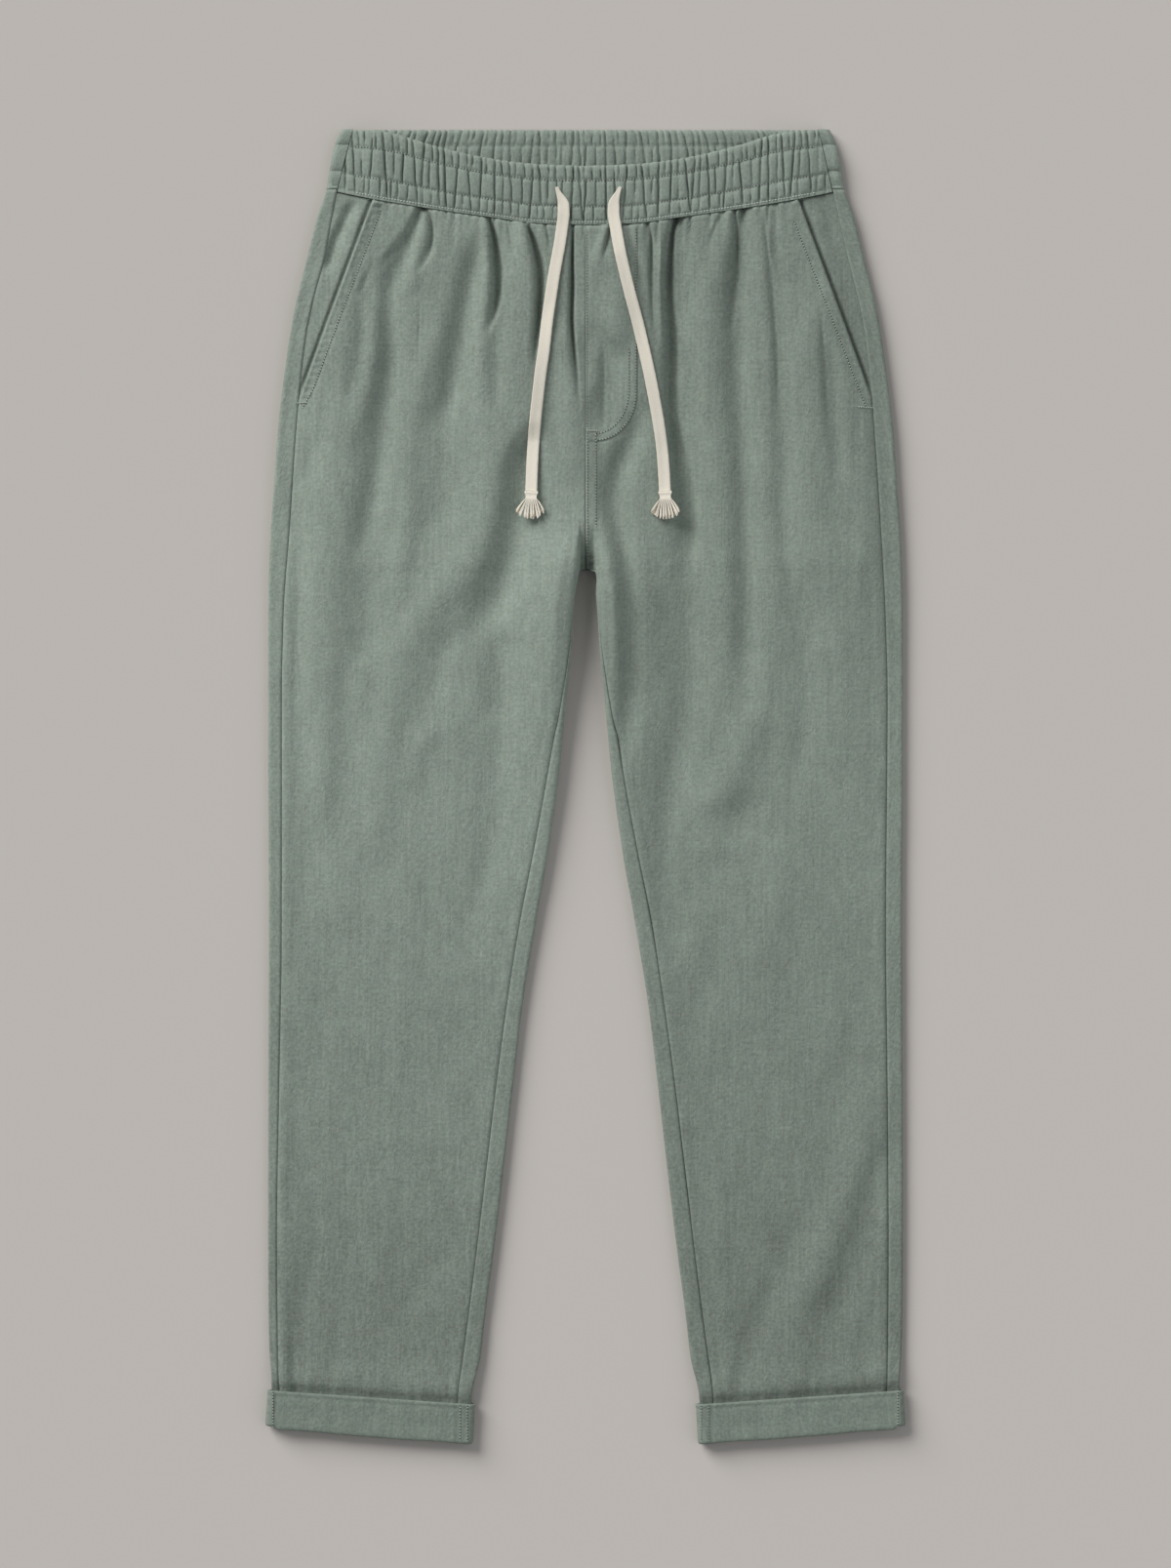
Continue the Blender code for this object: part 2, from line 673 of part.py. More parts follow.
def cuff_loop(side, row):
    """One closed outline round the leg at a row of the cuff."""
    sign = SIDES[side]
    inner_top, inner_hem = CUFF_INNER_SIDE
    outer_top, outer_hem = CUFF_OUTER_SIDE
    inner_edge = inner_top + (inner_hem - inner_top) * row.share + row.inset
    outer_edge = outer_top + (outer_hem - outer_top) * row.share - row.inset
    low, high = row.inset, CUFF_EDGE - row.inset
    radius = (high - low) / 2
    left, right = inner_edge + radius, outer_edge - radius
    outline = []
    for n in range(CUFF_BOTTOM):
        outline.append((left + (right - left) * n / CUFF_BOTTOM, low))
    for n in range(CUFF_ROLL):
        angle = math.pi * n / CUFF_ROLL
        outline.append((right + radius * math.sin(angle), low + radius * (1 - math.cos(angle))))
    for n in range(CUFF_TOP):
        t = n / CUFF_TOP
        sag = (CUFF_EDGE - CUFF_MIDDLE) * between(min(t, 1 - t), 0, 0.25)
        outline.append((right + (left - right) * t, high - sag))
    for n in range(CUFF_ROLL):
        angle = math.pi * n / CUFF_ROLL
        outline.append((left - radius * math.sin(angle), high - radius * (1 - math.cos(angle))))
    loop = []
    for across, height in outline:
        top, hem = hem_edge(across, "cuff_top"), hem_edge(across, "hem")
        loop.append(place(sign * across, top + (hem - top) * row.share, height))
    return loop


def cuff_object(side, material):
    mesh = bmesh.new()
    loops = []
    for row in CUFF_OUTER + CUFF_INNER:
        loops.append([mesh.verts.new(point) for point in cuff_loop(side, row)])
    for above, below in zip(loops, loops[1:] + loops[:1]):
        for n in range(len(above)):
            m = (n + 1) % len(above)
            mesh.faces.new((above[n], above[m], below[m], below[n]))
    bmesh.ops.recalc_face_normals(mesh, faces=mesh.faces[:])
    return add_object(f"cuff_{side}", mesh, material)


# ---------------------------------------------------------------- drawstrings
# The middle of each tape from its buttonhole in the band to its bound end. It comes out
# folded narrow and opens to its full width over the band.
TapePoint = namedtuple("TapePoint", "across down width")
TAPES = {
    "right": (
        TapePoint(-22.1, 45.4, 2.6),
        TapePoint(-20.6, 49.9, 4.4),
        TapePoint(-18.4, 54.4, 7.0),
        TapePoint(-16.9, 58.6, 9.4),
        TapePoint(-16.7, 65.0, 9.8),
        TapePoint(-17.6, 73.9, 9.8),
        TapePoint(-19.5, 87.4, 9.8),
        TapePoint(-21.5, 98.6, 9.8),
        TapePoint(-23.6, 109.9, 9.8),
        TapePoint(-26.5, 128.6, 9.8),
        TapePoint(-29.2, 147.4, 9.8),
        TapePoint(-32.0, 171.4, 9.8),
        TapePoint(-34.5, 188.6, 9.8),
        TapePoint(-36.6, 206.6, 9.8),
        TapePoint(-38.4, 223.9, 9.8),
        TapePoint(-39.8, 241.1, 9.8),
        TapePoint(-40.9, 259.9, 9.8),
        TapePoint(-41.5, 278.0, 9.8),
    ),
    "left": (
        TapePoint(26.6, 45.4, 2.6),
        TapePoint(24.8, 49.9, 4.4),
        TapePoint(22.9, 54.4, 7.0),
        TapePoint(21.7, 58.6, 9.4),
        TapePoint(21.5, 65.0, 9.8),
        TapePoint(22.7, 73.9, 9.8),
        TapePoint(25.0, 87.4, 9.8),
        TapePoint(27.2, 98.6, 9.8),
        TapePoint(29.8, 109.9, 9.8),
        TapePoint(34.4, 128.6, 9.8),
        TapePoint(39.5, 147.4, 9.8),
        TapePoint(45.2, 171.4, 9.8),
        TapePoint(49.0, 188.6, 9.8),
        TapePoint(52.5, 206.6, 9.8),
        TapePoint(55.6, 223.9, 9.8),
        TapePoint(58.1, 241.1, 9.8),
        TapePoint(59.8, 259.9, 9.8),
        TapePoint(60.8, 278.0, 9.8),
    ),
}
# Outline of the tape across its run: share of its width, share of its thickness
TAPE_OUTLINE = ((-0.5, 0), (-0.42, 0.5), (0.42, 0.5), (0.5, 0), (0.42, -0.5), (-0.42, -0.5))
TAPE_CHECKS = 4         # places between two points where the cloth below is felt
TAPE_PATCH = (2.6, 5.2)     # half the patches felt there


def tape_middle(side, surface):
    """The tape's route, laid on the cloth: no lower at a point than beside it on either side."""
    route = TAPES[side]
    tops = []
    for a, b in zip(route, route[1:]):
        best = 0.0
        for n in range(TAPE_CHECKS + 1):
            t = n / TAPE_CHECKS
            across, down = a.across + (b.across - a.across) * t, a.down + (b.down - a.down) * t
            for around in TAPE_PATCH:
                best = max(best, top_of(surface, across, down, around))
        tops.append(best)
    tops = [tops[0]] + [max(pair) for pair in zip(tops, tops[1:])] + [tops[-1]]
    return [
        place(p.across, p.down, top + GAP + TAPE_THICK / 2) for p, top in zip(route, tops)
    ]


def tape_object(side, points, material):
    rings = []
    for n, point in enumerate(points):
        along = points[min(n + 1, len(points) - 1)] - points[max(n - 1, 0)]
        sideways = Vector((-along.y, along.x, 0)).normalized()
        upwards = sideways.cross(along).normalized()
        upwards *= 1 if upwards.z > 0 else -1
        ring = []
        for share, thick in TAPE_OUTLINE:
            offset = sideways * share * TAPES[side][n].width + upwards * thick * TAPE_THICK
            ring.append(point + offset * MM)
        rings.append(ring)
    return ring_solid(f"drawstring_{side}", rings, material)


COLLAR_WIDTH = 10.6     # the bound end of the tape
COLLAR_THICK = 2.6
COLLAR_LENGTH = 4.6
STRANDS_ACROSS = 8      # frayed threads, in two layers
STRANDS_DEEP = 2
STRAND_LENGTH = 16.0
STRAND_FAN = 1.35       # how much further out each thread ends than it starts
STRAND_INSET = 0.13     # bare collar round each root
STRAND_STEPS = ((0.35, 1.3), (1.0, 1.75))   # share of the length, how much it widens to there
STRAND_FLAT = 1.03      # and how much it thickens


def tassel_object(side, points, surface, material):
    """A collar whose lower end is drawn out, cell by cell, into threads that fan apart."""
    last, end = TAPES[side][-1], points[-1]
    along = end - points[-2]
    along.z = 0
    along.normalize()
    sideways = Vector((-along.y, along.x, 0))
    if sideways.x < 0:
        sideways.negate()
    mesh = bmesh.new()
    grid = []
    for j in range(STRANDS_DEEP + 1):
        row = []
        for i in range(STRANDS_ACROSS + 1):
            across = (i / STRANDS_ACROSS - 0.5) * COLLAR_WIDTH
            height = (j / STRANDS_DEEP - 0.5) * COLLAR_THICK
            row.append(mesh.verts.new((across, 0, height)))
        grid.append(row)
    for low, high in zip(grid, grid[1:]):
        for a, b, c, d in zip(low, low[1:], high[1:], high):
            mesh.faces.new((a, b, c, d))
    far = bmesh.ops.extrude_face_region(mesh, geom=mesh.faces[:], use_keep_orig=True)["geom"]
    bmesh.ops.translate(
        mesh, vec=(0, COLLAR_LENGTH, 0), verts=[v for v in far if isinstance(v, bmesh.types.BMVert)]
    )
    bmesh.ops.recalc_face_normals(mesh, faces=mesh.faces[:])
    roots = [face for face in mesh.faces if all(abs(v.co.y) < 1e-6 for v in face.verts)]
    bmesh.ops.inset_individual(mesh, faces=roots, thickness=STRAND_INSET)
    done = 0.0
    for share, wide in STRAND_STEPS:
        drawn = bmesh.ops.extrude_discrete_faces(mesh, faces=roots)["faces"]
        for face in drawn:
            middle = face.calc_center_median()
            root = middle.x / (1 + STRAND_FAN * done) if done else middle.x
            short = 1 - 0.38 * abs(2 * root / COLLAR_WIDTH) ** 2
            to = Vector((
                root * (1 + STRAND_FAN * share), -STRAND_LENGTH * share * short, middle.z,
            ))
            for vertex in face.verts:
                apart = vertex.co - middle
                vertex.co = to + Vector((apart.x * wide, apart.y, apart.z * STRAND_FLAT))
        roots = drawn
        done = share
    floor = max(
        top_of(surface, last.across + dx, last.down + COLLAR_LENGTH + dy, 4)
        for dx in (-7, 0, 7) for dy in (-3, 3, 9, 14)
    )
    lowest = min(vertex.co.z for vertex in mesh.verts)
    origin = end + along * (GAP + COLLAR_LENGTH) * MM
    for vertex in mesh.verts:
        x, y, z = vertex.co
        vertex.co = origin + (sideways * x - along * y) * MM
        vertex.co.z = (floor + GAP + z - lowest) * MM
    bmesh.ops.recalc_face_normals(mesh, faces=mesh.faces[:])
    return add_object(f"tassel_{side}", mesh, material)


def main():
    for old in list(bpy.data.objects):
        bpy.data.objects.remove(old, do_unlink=True)
    sage = cloth_material("sage_cotton", SAGE, 0.85)
    sage_band = cloth_material("sage_band", SAGE, 0.88)
    sage_cuff = cloth_material("sage_cuff", SAGE_DARK, 0.85)
    ivory = cloth_material("ivory_cotton", IVORY, 0.8)
    laid = []
    for side, sign in SIDES.items():
        flip = sign < 0
        laid.append(sheet(f"front_{side}", front_points(side), flip, CLOTH, sage))
        sheet(f"back_{side}", back_points(side), not flip, CLOTH, sage)
        sheet(f"pocket_facing_{side}", facing_points(side), flip, CLOTH, sage)
        cuff_object(side, sage_cuff)
    laid.append(sheet("fly", fly_points(surface_of(laid)), False, FLY_CLOTH, sage))
    laid.append(band_object("waistband_front", front_band_columns(), sage_band))
    band_object("waistband_back", back_band_columns(), sage_band)
    surface = surface_of(laid)
    for side in SIDES:
        points = tape_middle(side, surface)
        tape_object(side, points, ivory)
        tassel_object(side, points, surface, ivory)


main()
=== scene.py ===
# %% [markdown]
# # Cotton trousers, laid flat
# A pair of sage green cotton trousers lies on its back: gathered elastic waist, ivory drawstring,
# slant pockets, a mock fly and turned-up cuffs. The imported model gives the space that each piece
# may fill. This lesson puts cloth, seams, stitches and light on it, one piece at a time.

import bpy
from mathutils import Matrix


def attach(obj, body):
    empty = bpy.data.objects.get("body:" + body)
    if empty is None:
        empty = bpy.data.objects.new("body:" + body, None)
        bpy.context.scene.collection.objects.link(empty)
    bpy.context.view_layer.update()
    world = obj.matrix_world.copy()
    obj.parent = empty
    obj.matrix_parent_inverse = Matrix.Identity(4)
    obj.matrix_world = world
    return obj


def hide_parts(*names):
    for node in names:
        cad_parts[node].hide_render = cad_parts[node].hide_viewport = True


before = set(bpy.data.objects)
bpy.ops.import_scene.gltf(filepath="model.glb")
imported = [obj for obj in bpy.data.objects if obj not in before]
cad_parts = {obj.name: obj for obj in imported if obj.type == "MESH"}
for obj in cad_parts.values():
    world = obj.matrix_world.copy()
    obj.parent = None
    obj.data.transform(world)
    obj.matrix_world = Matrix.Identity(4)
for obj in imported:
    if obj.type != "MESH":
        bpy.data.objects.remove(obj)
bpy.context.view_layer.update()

# %% Imports and units
import math
from collections import namedtuple

import bmesh
import bpy
import numpy as np
from mathutils import Matrix, Vector
from mathutils.bvhtree import BVHTree

MM = 0.001
LENGTH = 1009.0     # waist to hem, in millimetres
ROOT = "root"

# %% [markdown]
# ## The camera
# The garment is seen from straight above, so the camera looks down along -Z. A long lens far
# away keeps the two legs free of perspective, as in a flat-lay studio shot.

# %% Camera
VIEW_HEIGHT = 1.20525       # metres from the top to the bottom of the picture
CAMERA_HEIGHT = 4.0
camera_data = bpy.data.cameras.new("camera")
camera_data.sensor_width = 36
camera_data.lens = 36 * CAMERA_HEIGHT / VIEW_HEIGHT
camera_data.clip_end = 50
camera = bpy.data.objects.new("camera", camera_data)
camera.location = (0, 0.00206, CAMERA_HEIGHT)
bpy.context.scene.collection.objects.link(camera)
bpy.context.scene.camera = camera
print("lens", round(camera_data.lens, 1))

# %% [markdown]
# ## Light and floor
# Shadows fall short and soft to the lower right, so one broad sun stands at the upper left, and
# an even sky fills the shadows to a little over half the brightness.

# %% Light
def far_light(name, towards, energy, breadth, colour):
    """A light far off in one direction; its breadth in degrees makes its shadows soft."""
    data = bpy.data.lights.new(name, "SUN")
    data.energy, data.angle, data.color = energy, math.radians(breadth), colour
    lamp = bpy.data.objects.new(name, data)
    lamp.rotation_mode = "QUATERNION"
    lamp.rotation_quaternion = Vector(towards).to_track_quat("Z", "Y")
    bpy.context.scene.collection.objects.link(lamp)


far_light("key", (-0.62, 0.66, 0.47), 3.24, 38, (1.0, 0.985, 0.965))
far_light("reflector", (0.85, -0.10, 0.56), 0.64, 75, (0.98, 0.99, 1.0))
world = bpy.data.worlds.new("sky")
bpy.context.scene.world = world
world.use_nodes = True
sky = world.node_tree.nodes["Background"].inputs
sky["Color"].default_value = (0.97, 0.985, 1.0, 1)
sky["Strength"].default_value = 0.225
bpy.context.scene.view_settings.view_transform = "Standard"
print("lights", len(bpy.data.lights))

# %% Floor
def add_piece(name, work, *materials):
    """Turns a finished bmesh into a smooth piece of the scene."""
    mesh = bpy.data.meshes.new(name)
    work.to_mesh(mesh)
    work.free()
    for material in materials:
        mesh.materials.append(material)
    mesh.shade_smooth()
    piece = bpy.data.objects.new(name, mesh)
    bpy.context.scene.collection.objects.link(piece)
    return piece


floor_material = bpy.data.materials.new("pale_floor")
floor_material.use_nodes = True
floor_shader = floor_material.node_tree.nodes["Principled BSDF"]
floor_shader.inputs["Base Color"].default_value = (0.600, 0.566, 0.538, 1)
floor_shader.inputs["Roughness"].default_value = 0.9
work = bmesh.new()
bmesh.ops.create_grid(work, x_segments=1, y_segments=1, size=6)
floor = add_piece("floor", work, floor_material)
floor.location.z = -0.0002
print("floor", floor.name)

# %% [markdown]
# ## The sizes of the garment
# One row for each station down the garment. The hips are one wide tube and each leg is a
# narrower one, pressed flat: its cloth rolls over at the outer and the inner edge.

# %% Sections
# All in millimetres, and a place is given by how far across and how far down it is
#   outer, inner    outline of hip or leg
#   seam            centre seam, then inseam, as seen from above
#   edge, fork      height of the rolled outer and inner edge
#   middle          height of the upper layer between them
#   lift            height of the underside
#   turn, back_turn how far front and back bend over the inner edge, worked out below
Section = namedtuple(
    "Section", "down outer inner seam edge fork middle lift turn back_turn", defaults=(0, 0)
)
SECTIONS = (
    Section(0, 187.5, 0, 0, 9.6, 15.0, 15.0, 0),
    Section(12, 192.8, 0, 0, 9.6, 15.0, 15.0, 0),
    Section(30, 196.5, 0, 0, 9.6, 15.0, 15.0, 0),
    Section(47, 199.2, 0, 0, 9.3, 15.0, 15.0, 0),
    Section(65, 205.5, 0, 0, 8.8, 15.4, 15.4, 0),
    Section(95, 213, 0, 0, 8.6, 15.8, 15.8, 0),
    Section(140, 224, 0, 0, 8.5, 16.0, 16.0, 0),
    Section(185, 231, 0, 0, 8.4, 15.8, 15.8, 0),
    Section(230, 236.3, 0, 0, 8.3, 15.4, 15.4, 0),
    Section(275, 239.5, 0, 0, 8.2, 14.8, 14.8, 0),
    Section(309, 242, 0, 0, 7.6, 19.0, 14.4, 0),
    Section(322, 242.6, 0, 0, 7.6, 22.0, 14.4, 0),
    Section(332, 243.0, 0, 0, 7.5, 24.0, 14.4, 0),
    Section(338, 243.2, 0, 0, 7.4, 24.8, 14.2, 0),
    Section(340, 243.3, 4.4, 4.4, 7.4, 25.0, 14.0, 0),
    Section(352, 243.6, 6.6, 6.8, 7.3, 25.6, 13.6, 0),
    Section(372, 243.8, 8.6, 10.1, 7.1, 24.2, 12.6, 0),
    Section(402, 243.8, 10.5, 13.9, 7.0, 20.4, 11.3, 0),
    Section(435, 243.8, 14.0, 19.0, 6.8, 16.4, 10.2, 0),
    Section(452, 243.8, 15.6, 21.8, 6.8, 14.8, 9.8, 0),
    Section(462, 243.8, 16.6, 23.5, 6.8, 14.0, 9.6, 0),
    Section(492, 243.8, 19.5, 28.5, 6.7, 12.2, 8.9, 0),
    Section(552, 243.4, 27.8, 39.4, 6.5, 9.8, 8.0, 0),
    Section(612, 243.2, 38.3, 51, 6.4, 8.0, 7.3, 0),
    Section(672, 243.4, 48, 60.4, 6.2, 7.4, 6.9, 0),
    Section(732, 243.6, 55.1, 68.3, 6.1, 7.2, 6.7, 0),
    Section(792, 243.8, 61.9, 75.4, 6.1, 7.2, 6.6, 0),
    Section(852, 243.8, 69, 82.5, 6.1, 7.2, 6.6, 0),
    Section(912, 243.4, 76.9, 90, 5.9, 7.0, 6.6, 0),
    Section(942, 242.8, 80.5, 94, 5.6, 6.7, 6.5, 0.6),
    Section(968, 241.2, 86.6, 97.5, 5.8, 6.2, 6.3, 2.6),
    Section(1004, 240.8, 89.4, 99.5, 5.8, 6.2, 6.3, 2.6),
)
print("sections", len(SECTIONS))

# %% Seams and edges
# Side seam on the upper layer, across, for each side; the pocket's cut edge ends on it
SideSeam = namedtuple("SideSeam", "down right left")
SIDE_SEAMS = (
    SideSeam(0, 178.5, 178.5),
    SideSeam(47, 190.5, 189.5),
    SideSeam(102, 201.0, 202.0),
    SideSeam(132, 209.0, 209.5),
    SideSeam(162, 215.0, 215.0),
    SideSeam(206, 219.8, 219.4),
    SideSeam(252, 223.5, 222.8),
    SideSeam(309, 227.3, 226.5),
    SideSeam(372, 231.8, 229.9),
    SideSeam(435, 233.2, 231.6),
    SideSeam(612, 233.4, 230.4),
    SideSeam(732, 235.2, 231.6),
    SideSeam(852, 237.0, 232.5),
    SideSeam(942, 236.2, 231.9),
    SideSeam(1004, 234.0, 230.2),
)

# The front's cut edge at the slant pocket, from the waistband to the side seam
PocketEdge = namedtuple("PocketEdge", "down across")
POCKET_EDGE = (PocketEdge(52, 162.0), PocketEdge(208, 220.0))

# Edges of the front waistband: the top edge dips at the centre, and so does the seam below it
BandEdge = namedtuple("BandEdge", "across top seam")
BAND_EDGES = (
    BandEdge(0, 28.9, 73.9),
    BandEdge(20, 28.4, 73.6),
    BandEdge(43, 27.2, 72.3),
    BandEdge(68, 24.1, 68.8),
    BandEdge(94, 19.1, 65.2),
    BandEdge(119, 12.7, 61.6),
    BandEdge(144, 4.9, 57.6),
    BandEdge(163.5, 1.6, 54.2),
    BandEdge(200, 0.0, 46.0),
)

# The hem line and the cuff's upper edge slant down towards the inner leg
HemPoint = namedtuple("HemPoint", "across cuff_top hem")
HEM = (HemPoint(86.0, 978.2, LENGTH), HemPoint(246.0, 967.2, 997.1))
print("side seam rows", len(SIDE_SEAMS))

# %% [markdown]
# ## The folds
# A fold is a soft ridge or trough along a line that runs down the cloth. Each has its own width
# and depth, and it runs out at both ends. Troughs have a negative depth.

# %% Folds
Crease = namedtuple("Crease", "width depth line")
CREASES = {
    "right": (
        Crease(4.0, -0.62, ((-224, 938), (-223, 968))), Crease(7.0, -0.36, ((-196, 944), (-197, 970))),
        Crease(9.0, -0.30, ((-150, 950), (-148, 972))), Crease(6.0, -0.42, ((-106, 946), (-104, 974))),
        Crease(12.8, 2.8, ((-45, 81), (-45, 133), (-48, 185), (-56, 239))),
        Crease(9, -2.0, ((-134, 81), (-151, 126), (-150, 174), (-155, 219), (-160, 266), (-169, 313))),
        Crease(6.4, 1.5, ((-75, 81), (-76, 129), (-79, 176), (-77, 223))),
        Crease(6.4, 0.5, ((-126, 81), (-130, 99), (-133, 120))),
        Crease(9, -1.9, ((-84, 97), (-92, 135), (-99, 176), (-106, 216))),
        Crease(9, -0.9, ((-166, 117), (-172, 162), (-180, 210))),
        Crease(9, 1, ((-158, 120), (-163, 176), (-178, 232))),
        Crease(12.8, 1.3, ((-180, 138), (-185, 198), (-189, 268), (-195, 331), (-197, 392),
                       (-201, 453), (-203, 522))),
        Crease(9, 0.6, ((-112, 149), (-126, 196), (-136, 246), (-136, 295), (-142, 345))),
        Crease(9, 1.2, ((-16, 158), (-12, 207), (-9, 259))),
        Crease(9, -0.5, ((-198, 183), (-201, 221), (-216, 268))),
        Crease(4.5, 0.5, ((-206, 194), (-206, 216), (-207, 234))),
        Crease(12.8, -0.9, ((-112, 219), (-106, 264), (-117, 309))),
        Crease(12.8, 1.9, ((-71, 223), (-71, 264), (-77, 304), (-94, 347))),
        Crease(12.8, -2.9, ((-48, 241), (-52, 286), (-60, 333), (-77, 378))),
        Crease(6.4, -0.9, ((-223, 277), (-221, 318), (-220, 360), (-221, 403), (-221, 446))),
        Crease(12.8, -1, ((-159, 309), (-165, 356), (-168, 401))),
        Crease(12.8, -0.4, ((-122, 311), (-124, 327), (-130, 342))),
        Crease(12.8, 0.6, ((-12, 320), (-22, 367), (-28, 414), (-36, 464))),
        Crease(12.8, 1.2, ((-108, 351), (-138, 399), (-148, 446), (-157, 493), (-158, 543))),
        Crease(9, -0.7, ((-103, 387), (-111, 410), (-114, 432))),
        Crease(12.8, -1.3, ((-66, 390), (-65, 419), (-69, 450))),
        Crease(12.8, -0.6, ((-184, 417), (-187, 430), (-187, 446))),
        Crease(9, 0.5, ((-173, 417), (-174, 430), (-174, 444))),
        Crease(9, -0.16, ((-135, 439), (-142, 489), (-148, 538))),
        Crease(12.8, 0.4, ((-98, 444), (-105, 500), (-98, 552))),
        Crease(12.8, -1, ((-214, 446), (-214, 502), (-213, 552), (-216, 601))),
        Crease(12.8, -0.28, ((-182, 448), (-188, 489), (-189, 529))),
        Crease(12.8, -1.1, ((-63, 453), (-69, 493), (-69, 534), (-75, 576))),
        Crease(12.8, 0.6, ((-116, 457), (-130, 480), (-137, 504))),
        Crease(6.4, -0.18, ((-109, 462), (-123, 507), (-126, 552))),
        Crease(9, -0.3, ((-165, 554), (-169, 594), (-175, 637), (-174, 678), (-177, 720))),
        Crease(6.4, -0.18, ((-119, 554), (-121, 603), (-125, 653), (-131, 702), (-133, 754))),
        Crease(12.8, 0.3, ((-135, 567), (-139, 594), (-139, 617))),
        Crease(12.8, -0.5, ((-81, 574), (-86, 606), (-93, 637))),
        Crease(12.8, -0.5, ((-213, 612), (-216, 626), (-216, 642))),
        Crease(12.8, -0.5, ((-199, 624), (-202, 662), (-207, 707), (-208, 752))),
        Crease(6.4, 0.3, ((-142, 637), (-143, 687), (-145, 736), (-148, 788), (-152, 837), (-163, 889))),
        Crease(6.4, 0.7, ((-228, 725), (-230, 772), (-231, 819), (-228, 867), (-232, 914), (-231, 961))),
        Crease(6.4, 0.17, ((-197, 777), (-199, 822), (-199, 869), (-198, 916), (-203, 963))),
        Crease(12.8, -0.3, ((-187, 808), (-187, 849), (-188, 891), (-191, 943))),
        Crease(6.4, -0.4, ((-212, 810), (-208, 860), (-216, 912), (-216, 963))),
        Crease(12.8, -0.4, ((-136, 858), (-141, 898), (-148, 939))),
        Crease(12.8, -0.5, ((-117, 869), (-122, 885), (-128, 900))),
    ),
    "left": (
        Crease(6.0, -0.40, ((118, 948), (117, 972))), Crease(8.0, -0.42, ((166, 944), (170, 970))),
        Crease(7.0, -0.40, ((212, 938), (216, 968))),
        Crease(12.8, -1.5, ((70, 81), (71, 169), (76, 259), (79, 349), (78, 439), (63, 529), (65, 619))),
        Crease(9, -1.6, ((119, 81), (117, 135), (117, 192), (121, 246), (123, 302), (124, 356),
                       (124, 412))),
        Crease(6.4, -0.6, ((145, 81), (147, 126), (150, 174), (151, 221), (152, 266), (152, 313),
                       (158, 360))),
        Crease(9, 0.4, ((107, 81), (93, 140), (95, 198), (102, 259), (106, 318), (106, 376), (101, 437))),
        Crease(4.5, 0.18, ((134, 81), (137, 122), (140, 165), (139, 207), (139, 250), (135, 293))),
        Crease(6.4, 1.2, ((15, 81), (12, 93), (11, 104))),
        Crease(9, 1.1, ((18, 97), (25, 131), (23, 165))),
        Crease(12.8, 1.2, ((178, 147), (173, 192), (174, 239), (173, 286), (176, 333))),
        Crease(6.4, -0.6, ((182, 147), (187, 187), (191, 230), (196, 273))),
        Crease(12.8, -1.2, ((13, 158), (16, 194), (16, 230))),
        Crease(6.4, 0.5, ((11, 158), (9, 180), (5, 205))),
        Crease(4.5, 0.2, ((214, 225), (215, 268), (216, 309), (208, 358))),
        Crease(4.5, -0.19, ((210, 225), (205, 268), (205, 309))),
        Crease(9, -2.4, ((36, 234), (22, 279), (30, 327), (34, 372), (34, 419), (32, 466))),
        Crease(6.4, 0.16, ((140, 295), (144, 345), (146, 394), (136, 446))),
        Crease(9, 0.9, ((14, 311), (21, 363), (27, 414), (34, 466))),
        Crease(12.8, 0.7, ((185, 313), (188, 336), (186, 358))),
        Crease(12.8, 0.4, ((201, 322), (202, 340), (205, 358))),
        Crease(9, -0.6, ((166, 358), (167, 403), (169, 450), (163, 498))),
        Crease(12.8, 0.5, ((193, 360), (195, 381), (192, 403))),
        Crease(9, 0.4, ((196, 405), (198, 448), (196, 491))),
        Crease(12.8, 1.1, ((130, 448), (118, 482), (99, 518))),
        Crease(12.8, -0.8, ((126, 516), (122, 529), (117, 543))),
        Crease(9, -0.6, ((80, 543), (82, 581), (78, 619))),
        Crease(12.8, 0.7, ((150, 549), (148, 594), (140, 639))),
        Crease(12.8, -0.6, ((99, 561), (95, 579), (93, 592))),
        Crease(12.8, -0.5, ((103, 597), (98, 639), (80, 693), (81, 738), (86, 781), (89, 826))),
        Crease(9, -0.4, ((212, 626), (211, 678), (197, 729), (188, 781))),
        Crease(9, 0.5, ((191, 680), (185, 705), (179, 729))),
        Crease(12.8, 1.3, ((220, 736), (213, 781), (197, 826), (182, 871), (161, 916), (163, 963))),
        Crease(12.8, 0.5, ((156, 738), (155, 756), (157, 777))),
        Crease(12.8, -0.9, ((227, 786), (218, 824), (208, 864), (196, 905))),
        Crease(6.4, 0.4, ((104, 808), (104, 862), (108, 914), (112, 963))),
        Crease(3.2, -0.22, ((84, 824), (88, 869), (93, 916), (98, 963))),
        Crease(9, -0.6, ((162, 833), (149, 876), (131, 918), (128, 963))),
        Crease(9, -0.28, ((189, 907), (185, 934), (185, 963))),
    ),
}

